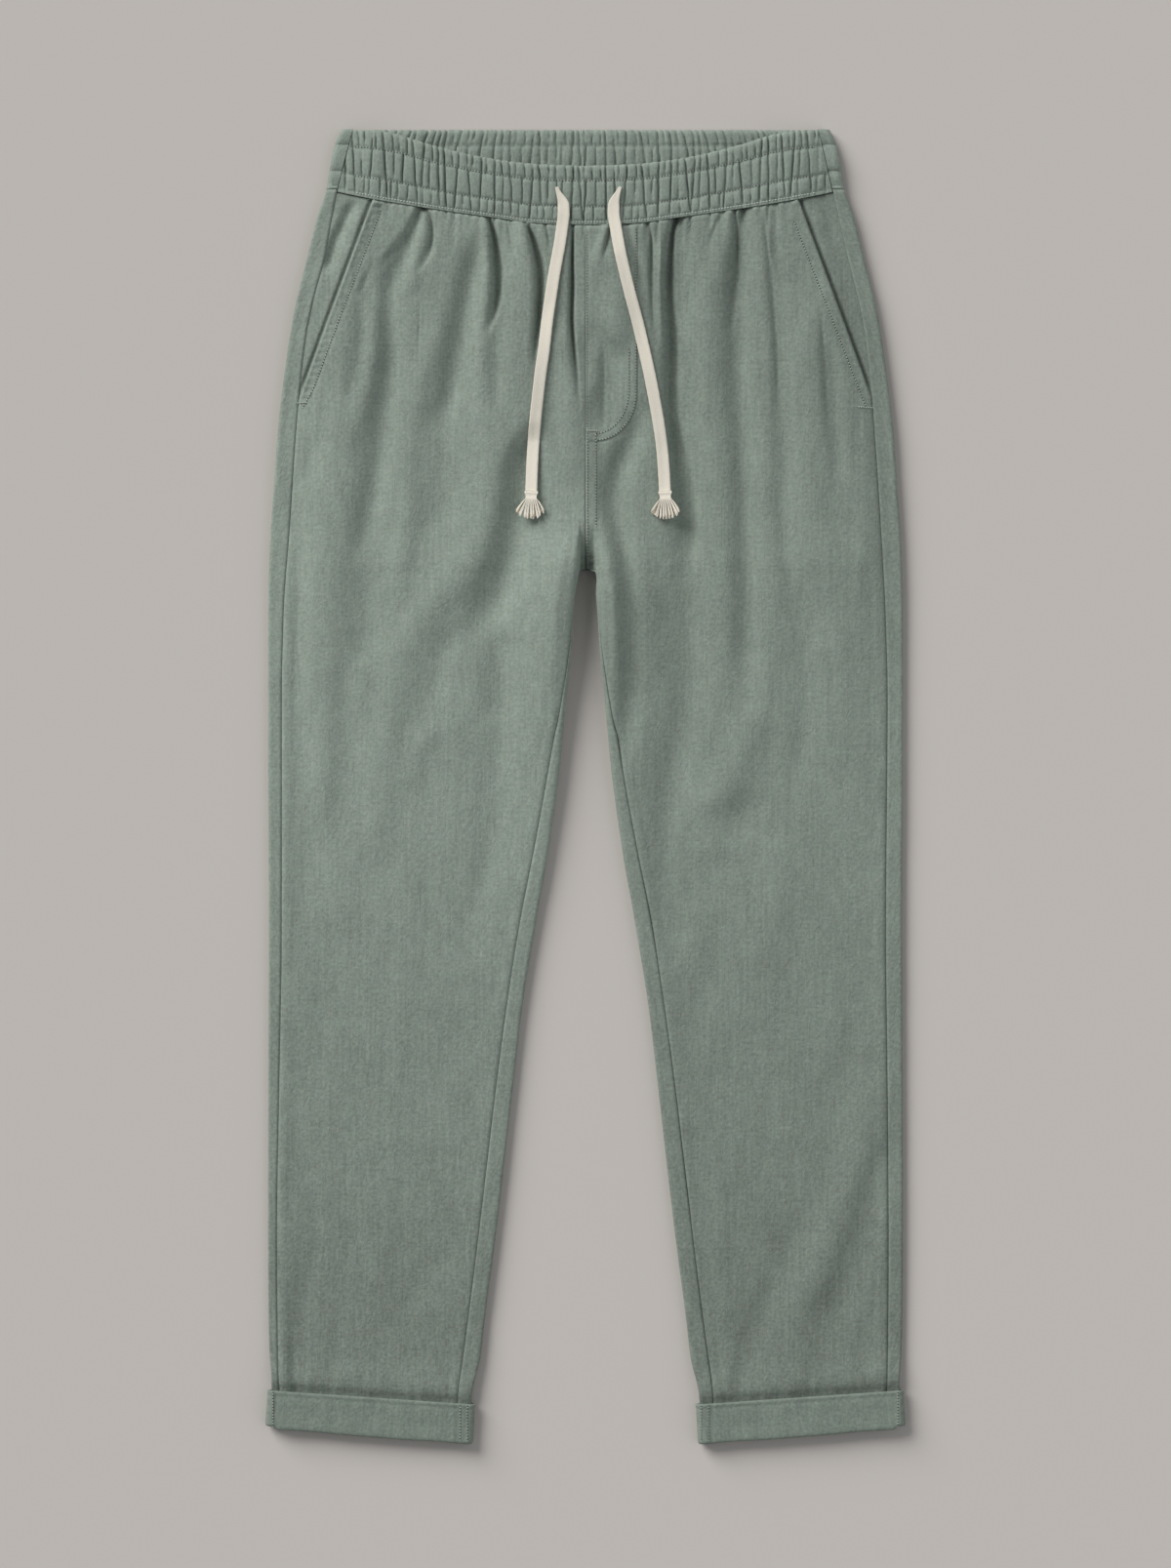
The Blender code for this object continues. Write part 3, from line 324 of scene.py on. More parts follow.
# Sharp folds that run out of the waist gathers: soft on the wearer's right, steep on the left.
#   left, right     widths of the two slopes, as seen
#   depth           depth of the trough in mm
Fold = namedtuple("Fold", "left right depth line")
FOLDS = (
    Fold(4.6, 2.3, 10.0, ((-74.5, 68), (-70, 80), (-67.5, 95), (-66, 110), (-67, 128), (-70, 142),
                         (-73, 150))),
    Fold(5.2, 2.6, 11.0, ((-45.5, 73), (-41, 82), (-37.5, 93), (-34.8, 106), (-34.2, 122),
                         (-35, 140), (-37, 160), (-39.5, 182))),
    Fold(3.2, 2.2, 5.0, ((-123, 61), (-118.6, 70), (-117.2, 80), (-118.4, 90), (-121, 98),
                         (-124.5, 104))),
    Fold(2.2, 1.4, 9.0, ((-9.5, 84), (-9.8, 100), (-9.6, 120), (-10.2, 145), (-8.6, 172),
                         (-6.5, 192))),
    Fold(1.8, 1.2, 2.5, ((-30.5, 73), (-28.5, 84), (-27, 92))),
    Fold(2.4, 1.8, 1.6, ((-60, 72), (-56.5, 88), (-52, 104))),
    Fold(5.0, 4.5, 2.4, ((-141, 86), (-147, 94), (-152, 101), (-155, 106))),
    Fold(3.4, 2.6, 1.8, ((-166.5, 112), (-170, 120), (-173, 127))),
    Fold(1.3, 1.0, 0.7, ((-127.3, 136), (-127.2, 150), (-127.6, 170))),
    Fold(4.4, 1.9, 13.5, ((70.0, 69), (67.4, 78), (66.2, 90), (65.2, 105), (65.0, 122), (66.4, 142),
                         (68.0, 162), (68.0, 182), (68.0, 200), (69, 222), (72, 245))),
    Fold(6.0, 4.5, 6.0, ((66.5, 150), (68, 175), (67.5, 200), (69, 230), (72, 260))),
    Fold(9.0, 4.5, 10.5, ((69, 228), (73, 248), (77, 272), (80, 300), (81, 325))),
    Fold(3.2, 3.0, -2.4, ((57, 84), (57.5, 110), (58, 138), (59.5, 162))),
    Fold(2.4, 1.7, 4.5, ((48, 73), (50.4, 82), (50.8, 96), (50.8, 115), (51.5, 135), (53, 152))),
    Fold(5.0, 3.0, 3.0, ((33, 78), (38, 98), (43, 118), (48, 140))),
    Fold(3.8, 2.2, 5.0, ((114.5, 64), (115.8, 76), (116, 92), (115.6, 110), (114.5, 128),
                         (112, 148))),
    Fold(2.4, 1.6, 1.6, ((104, 66), (98.5, 78), (95.5, 90))),
    Fold(2.6, 1.6, 1.2, ((137.5, 74), (139.5, 95), (142.5, 120), (145, 150), (147, 180),
                         (147, 210))),
    Fold(2.4, 1.8, 2.2, ((17.5, 84), (14.5, 95), (12, 106))),
    Fold(1.8, 1.2, 1.3, ((13.6, 168), (14, 200), (13.6, 235))),
    Fold(3.2, 2.0, 1.5, ((181, 148), (182.5, 175), (184, 200), (185.5, 228))),
)
print("creases", {side: len(rows) for side, rows in CREASES.items()})

# %% [markdown]
# ## Reading the tables
# The pattern is drawn from a few short tables. Between two rows a value runs smoothly, as a
# maker draws a curve through marked points.

# %% Helpers
GAP = 0.12          # left between pieces that are sewn together
SHOULDER = 34.0     # how far in from a rolled edge the cloth reaches its full height
BAND_HEIGHT = 46.0  # waistband at the side
HEM_MARGIN = 4.5    # the leg ends this far inside the cuff's fold
WAIST_SEAM = 73.9   # row of the seam below the waistband, at the centre
WAIST_ROWS = (74, 150)      # between these the rows lose the curve of the waist seam
FORK = 339.0        # row where the legs part
FORK_TURN = (3.0, 362, 340)     # the left leg stands off the fork so far, between these rows
HEM_ROW = 1003.0    # last row of the leg
SLANT_ROW = 880     # from here the rows take on the slant of the hem
SIDES = {"right": -1, "left": 1}


def smooth(value, low, high):
    """0 at low, 1 at high, with a soft start and end."""
    t = np.clip((np.asarray(value, float) - low) / (high - low), 0, 1)
    return t * t * (3 - 2 * t)


def bump(distance, width):
    """A soft hump, 1 in its middle."""
    return np.exp(-((np.asarray(distance, float) / width) ** 2))


def through(xs, ys, slopes, at):
    """A line through points, with the slope that it has at each."""
    i = np.clip(np.searchsorted(xs, at) - 1, 0, len(xs) - 2)
    step = xs[i + 1] - xs[i]
    t = np.clip((at - xs[i]) / step, 0, 1)
    return (
        (1 + 2 * t) * (1 - t) ** 2 * ys[i] + t * (1 - t) ** 2 * step * slopes[i]
        + t * t * (3 - 2 * t) * ys[i + 1] + t * t * (t - 1) * step * slopes[i + 1]
    )


def curve(xs, ys, at):
    """A smooth line through points that never passes beyond their values."""
    xs, ys, at = (np.asarray(values, float) for values in (xs, ys, at))
    slope = np.diff(ys) / np.diff(xs)
    tangent = np.empty_like(xs)
    tangent[0], tangent[-1] = slope[0], slope[-1]
    product, total = slope[:-1] * slope[1:], slope[:-1] + slope[1:]
    safe = np.where(product > 0, total, 1)
    tangent[1:-1] = np.where(product > 0, 2 * product / safe, 0)
    return through(xs, ys, tangent, at)


def read(table, key, column, at):
    """A column of a table at places between its rows."""
    return curve([getattr(row, key) for row in table], [getattr(row, column) for row in table], at)


print("halfway up a soft step", smooth(5, 0, 10))

# %% Sizes at a row
def section(down):
    """All sizes of the garment at a row."""
    return Section(down, *(read(SECTIONS, "down", name, down) for name in Section._fields[1:8]))


def leg_section(side, down):
    """One leg: how far front and back turn, in degrees, to meet at the seam on the inner edge."""
    form = section(down)
    most, *rows = FORK_TURN
    shift = np.where(form.inner > 0, most * smooth(down, *rows), 0) * (side == "left")
    leaning = np.arcsin(np.clip(1 - (form.seam - form.inner) / (form.fork / 2), 0, 1))
    turn = np.where(form.inner > 0, np.degrees(leaning), 0)
    return form._replace(
        inner=form.inner + shift, seam=form.seam + shift,
        turn=turn, back_turn=np.where(form.inner > 0, 180 - turn, 0),
    )


def side_seam(side, down):
    """How far across the side seam is."""
    return read(SIDE_SEAMS, "down", side, down)


def band_edge(across, which):
    """How far down the front band's top edge or its seam is."""
    return read(BAND_EDGES, "across", which, np.abs(across))


def hem_edge(across, which):
    """How far down the cuff's upper edge or the hem is."""
    inner, outer = HEM
    t = (np.abs(across) - inner.across) / (outer.across - inner.across)
    return getattr(inner, which) * (1 - t) + getattr(outer, which) * t


print("waist seam at the centre and the side", band_edge(np.array([0, 163]), "seam"))

# %% [markdown]
# ## Rows and places
# A row of threads bends with the waist seam at its top end and slants with the hem at its lower
# end. All shapes are worked out in millimetres on the garment and placed in the room last.

# %% Rows and places
def arched(form, across):
    """Height of the upper layer, lower near the rolled outer edge, and how far from it."""
    from_outer = form.outer - across - form.edge / 2
    share = 1 - smooth(from_outer, 0, SHOULDER)
    return form.middle + (form.edge - form.middle) * share, from_outer


def row_down(row, across, curved_top):
    """How far down a row of threads passes at a place across the panel."""
    waist = (band_edge(across, "seam") - band_edge(0, "seam")) * curved_top
    waist = waist * (1 - smooth(row, *WAIST_ROWS))
    slant = hem_edge(across, "hem") - HEM_MARGIN - HEM_ROW
    return row + waist + slant * smooth(row, SLANT_ROW, HEM_ROW)


def place(across, down, height):
    """Millimetres on the garment to metres in the room."""
    across, down, height = np.broadcast_arrays(across, down, height)
    return np.stack([across, LENGTH / 2 - down, height], axis=-1) * MM


print("the middle of the hips in the room", place(0, 200, 15))

# %% [markdown]
# ## How the cloth lies
# Each crease is a line of points. Its height falls off to the sides and it runs out at both
# ends. A little rumple between the creases keeps the cloth from looking like plastic.

# %% Creases
RUN_SHARE, RUN_LEAST, RUN_MOST = 0.32, 24.0, 55.0   # how far a crease takes to run out
GATHERED = 84       # creases that start above this are gathers, and run up into the waist seam
GATHER_UP, GATHER_GROWS = 60, 64    # how far above its first point one shows, and grows below
RELIEF = 2.9        # height of a crease of strength 1
Strength = namedtuple("Strength", "down right left")
STRENGTHS = (       # the hips are the most creased, the lower legs the least
    Strength(0, 1.15, 1.50), Strength(180, 1.10, 1.40), Strength(260, 0.88, 1.00),
    Strength(350, 0.82, 0.90), Strength(560, 0.74, 0.84), Strength(660, 0.52, 0.48),
    Strength(800, 0.60, 0.60), Strength(860, 0.66, 0.80), Strength(1000, 0.75, 0.95),
)


def away_from(crease, across, down):
    """Distance from a crease's line, which goes straight on past its ends."""
    ys, xs = np.array(crease.line, float).T
    slopes = np.gradient(ys, xs)
    line = through(xs, ys, slopes, down)
    line = line + np.minimum(down - xs[0], 0) * slopes[0] + np.maximum(down - xs[-1], 0) * slopes[-1]
    return (across - line) / np.sqrt(1 + np.interp(down, xs, slopes) ** 2)


def creases(across, down):
    """Height of all creases at places on the garment; across is signed."""
    across, down = np.broadcast_arrays(across, down)
    height = np.zeros(across.shape)
    for side, crease in [(side, crease) for side in SIDES for crease in CREASES[side]]:
        first, last = crease.line[0][1], crease.line[-1][1]
        run = min(max(RUN_LEAST, RUN_SHARE * (last - first)), RUN_MOST)
        gathered = first <= GATHERED
        near = (down > first - (GATHER_UP if gathered else run)) & (down < last + run)
        away = away_from(crease, across[near], down[near])
        begin = 1 if gathered else smooth((down[near] - first) / run + 0.6, 0, 1)
        end = smooth((last - down[near]) / run + 0.6, 0, 1)
        below = smooth(down[near] - band_edge(across[near], "seam"), -2, GATHER_GROWS)
        width = crease.width * (0.36 + 0.64 * below if gathered else 1)
        if gathered:
            hooked = (1 - below) * np.sign(crease.depth)
            width = width * np.where(away > 0, 1 - 0.45 * hooked, 1 + 0.3 * hooked)
        depth = crease.depth * (0.72 + 0.28 * below if gathered else 1)
        strength = read(STRENGTHS, "down", side, down[near])
        height[near] += depth * strength * bump(away, width) * begin * end
    return height * RELIEF


print("deepest trough", round(float(creases(np.arange(-240, 240.0), np.full(480, 300.0)).min()), 2))

# %% [markdown]
# ## How the sharp folds lie
# A sharp fold is a trough with one steep and one soft slope. It needs corners that stand closer
# together, so the panels ask here how close they have to be.

# %% Sharp folds
def fold_reach(fold, across, down):
    """Distance from a fold's line, and how far it has grown there, from 0 to 1."""
    first, last = fold.line[0][1], fold.line[-1][1]
    grown = smooth(down, first - 12, first + 14)
    if first <= GATHERED:
        grown = 0.4 + 0.6 * grown
    run = np.clip(0.45 * (last - first), 12, 45)
    return away_from(fold, across, down), grown * smooth(last - down, -0.6 * run, run)


def folds(across, down):
    """Height of the sharp folds."""
    across, down = np.broadcast_arrays(across, down)
    height = np.zeros(across.shape)
    for fold in FOLDS:
        away, grown = fold_reach(fold, across, down)
        opened = 0.6 + 0.4 * smooth(down - fold.line[0][1], 5, 45)
        width = np.where(away < 0, fold.left, fold.right) * opened
        height -= fold.depth * bump(away, width) * grown
    return height


def closeness(across, down):
    """How much closer the mesh has to stand beside the sharp folds."""
    close = np.ones(np.broadcast(across, down).shape)
    for fold in FOLDS:
        away, grown = fold_reach(fold, across, down)
        close += 2.5 * bump(away, 2.4) * grown
    return close


print("deepest fold", round(float(folds(np.arange(-200, 200.0), np.full(400, 110.0)).min()), 2))

# %% [markdown]
# ## The rumples of cotton after washing
# A table of chance values, read smoothly, gives soft humps of any size. The seed keeps them the
# same each time.

# %% Rumples
LATTICE = np.random.default_rng(11).random((64, 64)) * 2 - 1


def rumple(across, down, size, shift=0.0):
    """Soft random relief with humps of a size, from -1 to 1."""
    x, y = across / size + 17.3 + shift * 3.7, down / size + 5.1 + shift * 9.1
    i, j = np.floor(x).astype(int), np.floor(y).astype(int)
    u, v = x - i, y - j
    u, v = u * u * (3 - 2 * u), v * v * (3 - 2 * v)
    a, b = LATTICE[i % 64, j % 64], LATTICE[(i + 1) % 64, j % 64]
    c, d = LATTICE[i % 64, (j + 1) % 64], LATTICE[(i + 1) % 64, (j + 1) % 64]
    return (a * (1 - u) + b * u) * (1 - v) + (c * (1 - u) + d * u) * v


def crinkle(across, down):
    """The fine unevenness of cotton after washing, longer down the cloth than across it."""
    across, down = np.broadcast_arrays(across, down)
    height = 0.09 * rumple(across, down * 0.45, 9.0, 1) + 0.06 * rumple(across, down * 0.5, 4.5, 2)
    return height + 0.14 * rumple(across + 0.3 * down, down, 23.0, 3)


print("crinkle at the centre", round(float(crinkle(0.0, 200.0)), 3))

# %% [markdown]
# ## Gathers
# Elastic pulls the band's cloth into narrow valleys between broad puffs, uneven in spacing. Three
# rows of stitches pinch them, and some valleys run on into the panel below the band.

# %% Valleys
GATHER_SPAN = 184.0     # half the length that is gathered
CHANNEL_ENDS = ((0.0, 0.262), (0.262, 0.70), (0.70, 1.0))   # shares of the band's height
Valley = namedtuple("Valley", "across depth width lean first last")


def uneven_places(pitch, seed):
    """Places along the band at an uneven spacing about a pitch."""
    chance = np.random.default_rng(seed)
    places = np.cumsum(0.35 + 1.3 * chance.random(int(2 * GATHER_SPAN / pitch) + 1))
    return (places - places[0]) / (places[-1] - places[0]) * 2 * GATHER_SPAN - GATHER_SPAN


THROUGH = uneven_places(9.6, 3)


def valleys(channel, pitch, seed):
    """One channel's valleys: deep ones cross the whole band aslant, slight ones stand between."""
    chance = np.random.default_rng(seed)
    first, last = CHANNEL_ENDS[channel]
    made = []
    for order, where in enumerate(THROUGH):
        slant = 4.2 * math.sin(order * 2.4)
        deep, wide, skip = chance.random(3)
        if skip < 0.86:
            made.append(Valley(where + slant * ((first + last) / 2 - 0.5), 1.25 + 1.35 * deep,
                               0.60 + 0.35 * wide, slant * (last - first), -0.2, 1.2))
    for a, b in zip(made[:], made[1:]):
        count = int((b.across - a.across) / pitch + 0.25)
        for step in range(1, count):
            deep, wide, lean, part, jitter = chance.random(5)
            where = a.across + (b.across - a.across) * (step + 0.5 * (jitter - 0.5)) / count
            ends = (-0.2, 1.2) if part < 0.45 else ((-0.2, part) if part < 0.75 else (part - 0.4, 1.2))
            made.append(Valley(where, 0.55 + 1.1 * deep, 0.5 + 0.35 * wide, 2.4 * (lean - 0.5), *ends))
    return sorted(made)


CHANNEL_VALLEYS = (valleys(0, 5.0, 4), valleys(1, 6.2, 5), valleys(2, 6.2, 12))


print("valleys in each channel", [len(rows) for rows in CHANNEL_VALLEYS])

# %% Puffs
def puffs(across, share, channel):
    """Broad puffs between narrow valleys in one channel of the band, in millimetres."""
    first, last = CHANNEL_ENDS[channel]
    within = np.clip((share - first) / (last - first), 0, 1)
    rows = CHANNEL_VALLEYS[channel]
    places = np.array([row.across for row in rows])
    at = np.clip(across, -GATHER_SPAN + 0.01, GATHER_SPAN - 0.01)
    i = np.clip(np.searchsorted(places, at) - 1, 0, len(places) - 2)
    t = (at - places[i]) / (places[i + 1] - places[i])
    height = 0.75 * (np.abs(np.sin(np.pi * t)) ** 0.7 - 0.5)
    for row in rows:
        away = across - row.across - row.lean * (within - 0.5)
        away = away - 0.55 * rumple(share * 46 + 9 * row.across, share * 0, 6.5, 3)
        near = np.abs(away) < 3.2
        part = smooth(within[near], row.first - 0.12, row.first + 0.12)
        part = part * smooth(within[near], row.last + 0.12, row.last - 0.12)
        height[near] -= row.depth * bump(away[near], row.width) * part
    return height


def panel_gathers(across, below):
    """Valleys of the band that run on down a panel, each one for its own distance."""
    across, below = np.broadcast_arrays(across, below)
    chance = np.random.default_rng(8)
    height = np.zeros(across.shape)
    for row, draw in zip(CHANNEL_VALLEYS[2], chance.random(len(CHANNEL_VALLEYS[2]))):
        reach = 9 + 40 * draw ** 2
        fade = np.clip(1 - below / reach, 0, 1) ** 1.2
        lean = row.lean * 0.06 * below
        height -= 1.15 * row.depth * bump(across - row.across - lean, 1.15 + 0.055 * below) * fade
    return height


print("puff at the centre", round(float(puffs(np.zeros(1), np.full(1, 0.5), 1)[0]), 2))

# %% [markdown]
# ## Cotton, thread and tape
# The cloth is a dry, slightly crinkled cotton. Its look is in the grain: fine vertical slubs,
# a peppered colour, a faint bloom of loose fibre that catches light at grazing angles.

# %% Nodes
def give(tree, socket, value):
    """A socket gets a wire from another node, or a plain value."""
    if isinstance(value, bpy.types.NodeSocket):
        tree.links.new(value, socket)
    else:
        socket.default_value = value


def add_node(tree, kind, output, settings=(), inputs=()):
    """A node with its settings and inputs; gives back one of its outputs."""
    node = tree.nodes.new(kind)
    for name, value in dict(settings).items():
        setattr(node, name, value)
    for name, value in dict(inputs).items():
        give(tree, node.inputs[name], value)
    return node.outputs[output]


print("ways to make nodes", give.__name__, add_node.__name__)

# %% [markdown]
# ## Patterns for the cloth
# All patterns are noise or waves on the cloth's own threads, so they turn with each piece.

# %% Patterns
def grain(tree, source, scale, detail=2.0, rough=0.5, distortion=0.0, output="Fac"):
    """Noise along the cloth's own threads: scale is repeats per metre across and down."""
    at = add_node(tree, "ShaderNodeMapping", "Vector", (), {"Vector": source, "Scale": (*scale, 1)})
    return add_node(tree, "ShaderNodeTexNoise", output, {"noise_dimensions": "2D"}, {
        "Vector": at, "Scale": 1.0, "Detail": detail, "Roughness": rough, "Distortion": distortion,
    })


def remap(tree, value, low, high, to_low, to_high, easing="LINEAR"):
    """Moves a range of values onto another one."""
    return add_node(tree, "ShaderNodeMapRange", "Result", {"interpolation_type": easing}, {
        "Value": value, "From Min": low, "From Max": high, "To Min": to_low, "To Max": to_high,
    })


def combine(tree, operation, first, *others):
    """Adds up or multiplies several values, one after the other."""
    for other in others:
        first = add_node(tree, "ShaderNodeMath", "Value", {"operation": operation}, {0: first, 1: other})
    return first


def waves(tree, source, axis, pitch):
    """A wave along one direction of the cloth; pitch in metres."""
    along = source if axis is None else add_node(
        tree, "ShaderNodeSeparateXYZ", axis, (), {"Vector": source})
    return combine(tree, "SINE", combine(tree, "MULTIPLY", along, math.tau / pitch), 0)


print("patterns", [make.__name__ for make in (grain, remap, combine, waves)])

# %% Painted shade and dye
# painted shade: where the cloth's colour is painted paler or darker down the garment, for light that falls
# off down the legs
PaintedShadeBand = namedtuple("PaintedShadeBand", "start end change")
PAINTED_SHADE_BANDS = (          # metres down the garment, and how much paler or darker it gets there
    PaintedShadeBand(0.17, 0.28, 0.07), PaintedShadeBand(0.50, 0.72, -0.12), PaintedShadeBand(0.74, 0.92, -0.11),
)
DYE_DRIFT, DYE_LEAST = (0.17, 0.0, 0.13), (0.915, 1.0, 0.935)   # red, green and blue


def painted_shade(tree, source, shade_amount):
    """Painted shade of a light that falls off: the thighs are palest and the lower legs darkest."""
    down = add_node(tree, "ShaderNodeSeparateXYZ", "Y", (), {"Vector": source})
    return combine(tree, "ADD", *(
        remap(tree, down, band.start, band.end, 0.0, band.change * shade_amount, "SMOOTHSTEP")
        for band in PAINTED_SHADE_BANDS
    ))


def dyed(tree, source, colour):
    """The dye takes unevenly: red and blue each drift a little, in patches of all sizes."""
    patches = grain(tree, source, (130, 110), 5.0, 0.8, output="Color")
    drift = add_node(tree, "ShaderNodeVectorMath", "Vector", {"operation": "MULTIPLY_ADD"},
                     {0: patches, 1: DYE_DRIFT, 2: DYE_LEAST})
    return add_node(tree, "ShaderNodeVectorMath", "Vector", {"operation": "MULTIPLY"},
                    {0: drift, 1: colour})


print("washed bands", len(PAINTED_SHADE_BANDS))

# %% Surface
def start_material(name):
    """A new material and its nodes."""
    material = bpy.data.materials.new(name)
    material.use_nodes = True
    return material, material.node_tree


def dress(material, colour, tone, roughness, relief, strength, depth, constants):
    """Wires colour times tone, roughness and relief into the surface, and sets its constants."""
    tree = material.node_tree
    sockets = {
        "Base Color": add_node(tree, "ShaderNodeVectorMath", "Vector", {"operation": "SCALE"},
                               {0: colour, "Scale": tone}),
        "Normal": add_node(tree, "ShaderNodeBump", "Normal", (),
                           {"Strength": strength, "Distance": depth, "Height": relief}),
        "Roughness": roughness,
        **constants,
    }
    for name, value in sockets.items():
        give(tree, tree.nodes["Principled BSDF"].inputs[name], value)
    return material


print("materials so far", len(bpy.data.materials))

# %% [markdown]
# ## The sage cotton
# Its tone varies with slubs, pepper and broad patches, and its relief is a crepe of two sizes
# over a fine weave. Legs, band and cuffs differ a little in colour, as they catch the light, and the left leg
# is darker than the right: these are painted light and shade.

# %% Cotton
WEAVE_PITCH = 0.0007        # metres from thread to thread


def cotton(name, colour, crepe=1.0, shade_amount=0.0):
    """Woven cotton with slubs, pepper, a soft bloom and a painted shade that darkens down the legs."""
    material, tree = start_material(name)
    source = add_node(tree, "ShaderNodeUVMap", "UV", {"uv_map": "grain"})
    pepper = grain(tree, source, (380, 430), 1.6, 0.7)
    slub = grain(tree, source, (470, 22), 1.6, 0.6, 0.6)
    tones = (
        (pepper, 0.12), (slub, 0.06), (grain(tree, source, (30, 20), 3.0, 0.6), 0.04),
        (grain(tree, source, (90, 520), 1.5, 0.5), 0.03),
        (grain(tree, source, (105, 85), 3.0, 0.7), 0.06),
    )
    # the tone takes in the painted shade that darkens the legs towards the hem
    tone = combine(
        tree, "ADD", *(remap(tree, noise, 0.3, 0.7, -change, change) for noise, change in tones),
        painted_shade(tree, source, shade_amount), 1.0,
    )
    weave = combine(tree, "MULTIPLY", *(waves(tree, source, axis, WEAVE_PITCH) for axis in "XY"))
    heights = (
        (grain(tree, source, (500, 330), 1.6, 0.62, 0.8), 0.18 * crepe),
        (grain(tree, source, (210, 120), 2.0, 0.55, 1.2), 0.58 * crepe),
        (slub, 0.14), (pepper, 0.12), (weave, 0.02),
    )
    relief = combine(tree, "ADD", *(combine(tree, "MULTIPLY", part, most) for part, most in heights))
    return dress(
        material, dyed(tree, source, colour), tone, remap(tree, pepper, 0.2, 0.8, 0.78, 0.96),
        relief, 0.6, 0.0011, {
            "Sheen Weight": 0.15, "Sheen Roughness": 0.5, "Sheen Tint": (0.86, 0.92, 0.87, 1),
            "Specular IOR Level": 0.25,
        },
    )


# painted shade: the left leg's darker colour and each leg's amount of painted shade stand for how the light
# falls on it
SAGE_LEG = {
    "right": cotton("sage_cotton_right", (0.250, 0.298, 0.258), shade_amount=1.3),
    "left": cotton("sage_cotton_left", (0.226, 0.270, 0.233), shade_amount=1.05),
}
SAGE = cotton("sage_cotton_small", (0.235, 0.281, 0.243))
SAGE_BAND = cotton("sage_band_cloth", (0.252, 0.302, 0.262), 0.8)
SAGE_CUFF = cotton("sage_cuff_cloth", (0.204, 0.247, 0.212))
print("cottons", [material.name for material in (*SAGE_LEG.values(), SAGE, SAGE_BAND, SAGE_CUFF)])

# %% [markdown]
# ## Thread and tape
# Thread is twisted, and its colour is painted lighter on its raised crowns, a painted highlight. The
# drawstring is a herringbone tape: its ribs slant one way on each side of the middle, and its rounded borders
# are painted darker, a painted shade.

# %% Thread
def plain_thread(name, colour, roughness=0.7):
    """Twisted sewing thread, its colour painted lighter on its raised crowns: a painted highlight."""
    material, tree = start_material(name)
    source = add_node(tree, "ShaderNodeTexCoord", "Object")
    noise = add_node(tree, "ShaderNodeTexNoise", "Fac", (),
                     {"Vector": source, "Scale": 1600.0, "Detail": 2.0})
    return dress(
        # painted highlight: the tone follows the relief, lighter where it stands high
        material, colour, remap(tree, noise, 0.3, 0.7, 0.84, 1.12),
        remap(tree, noise, 0.3, 0.7, roughness, 0.9), noise, 0.4, 0.0003, {"Sheen Weight": 0.2},
    )


THREAD = plain_thread("sage_thread", (0.480, 0.540, 0.485))
# a near-black colour for the discs of painted shade in the needle holes
HOLE_SHADE = plain_thread("needle_hole_shade", (0.040, 0.050, 0.042), 0.9)
FRAY_COTTON = plain_thread("ivory_threads", (0.950, 0.890, 0.770), 0.75)
print("threads", THREAD.name, HOLE_SHADE.name, FRAY_COTTON.name)

# %% Tape
RIB_PITCH = 0.00115         # metres from rib to rib


def twill_tape(name, colour):
    """Herringbone cotton tape: slanting ribs that turn back along its middle."""
    material, tree = start_material(name)
    source = add_node(tree, "ShaderNodeUVMap", "UV", {"uv_map": "grain"})
    across, down = (add_node(tree, "ShaderNodeSeparateXYZ", axis, (), {"Vector": source})
                    for axis in "XY")
    folded = combine(tree, "ABSOLUTE", across, 0)
    ribs = waves(tree, combine(tree, "ADD", down, folded), None, RIB_PITCH)
    pepper = grain(tree, source, (1400, 900), 2.0, 0.6)
    tone = combine(
        tree, "ADD", remap(tree, pepper, 0.25, 0.75, 0.94, 1.05), combine(tree, "MULTIPLY", ribs, 0.018),
        remap(tree, grain(tree, source, (120, 22), 2.0, 0.5), 0.3, 0.7, -0.03, 0.03),
        # painted shade: the rounded borders are darkened in colour
        remap(tree, folded, 0.0034, 0.0047, 0.0, -0.13),
    )
    return dress(
        material, colour, tone, remap(tree, pepper, 0.2, 0.8, 0.72, 0.92),
        combine(tree, "ADD", combine(tree, "MULTIPLY", ribs, 0.35), pepper), 0.5, 0.0004,
        {"Sheen Weight": 0.15, "Specular IOR Level": 0.25},
    )


TAPE_COTTON = twill_tape("ivory_tape", (0.880, 0.835, 0.720))
print("materials", len(bpy.data.materials))

# %% [markdown]
# ## Making a panel
# A panel is cut as a flat grid of small squares. Each corner is then moved to its place on the
# garment, and the cloth gets its thickness towards the inside.

# %% Panels
def grid_object(name, points, grain_map, material):
    """A grid mesh whose corners stand at the given points (rows, columns, 3), in metres."""
    rows, columns = points.shape[:2]
    work = bmesh.new()
    bmesh.ops.create_grid(work, x_segments=columns - 1, y_segments=rows - 1, size=1)
    work.verts.ensure_lookup_table()
    order = np.array([vertex.co[:2] for vertex in work.verts])
    column = np.rint((order[:, 0] + 1) / 2 * (columns - 1)).astype(int)
    row = np.rint((order[:, 1] + 1) / 2 * (rows - 1)).astype(int)
    piece = add_piece(name, work, material)
    mesh = piece.data
    mesh.vertices.foreach_set("co", points[row, column].reshape(-1))
    layer = mesh.uv_layers.new(name="grain")
    corner = np.empty(len(mesh.loops), dtype=np.int32)
    mesh.loops.foreach_get("vertex_index", corner)
    layer.data.foreach_set("uv", grain_map[row, column][corner].reshape(-1))
    mesh.update()
    return piece


def panel(name, points, grain_map, face_up, thickness, material):
    """A closed panel; face_up tells whether the grid already faces outwards."""
    if not face_up:
        points, grain_map = points[::-1], grain_map[::-1]
    piece = grid_object(name, points, grain_map, material)
    wall = piece.modifiers.new("wall", "SOLIDIFY")
    wall.thickness = thickness * MM
    wall.offset = -1
    wall.use_even_offset = False
    return piece


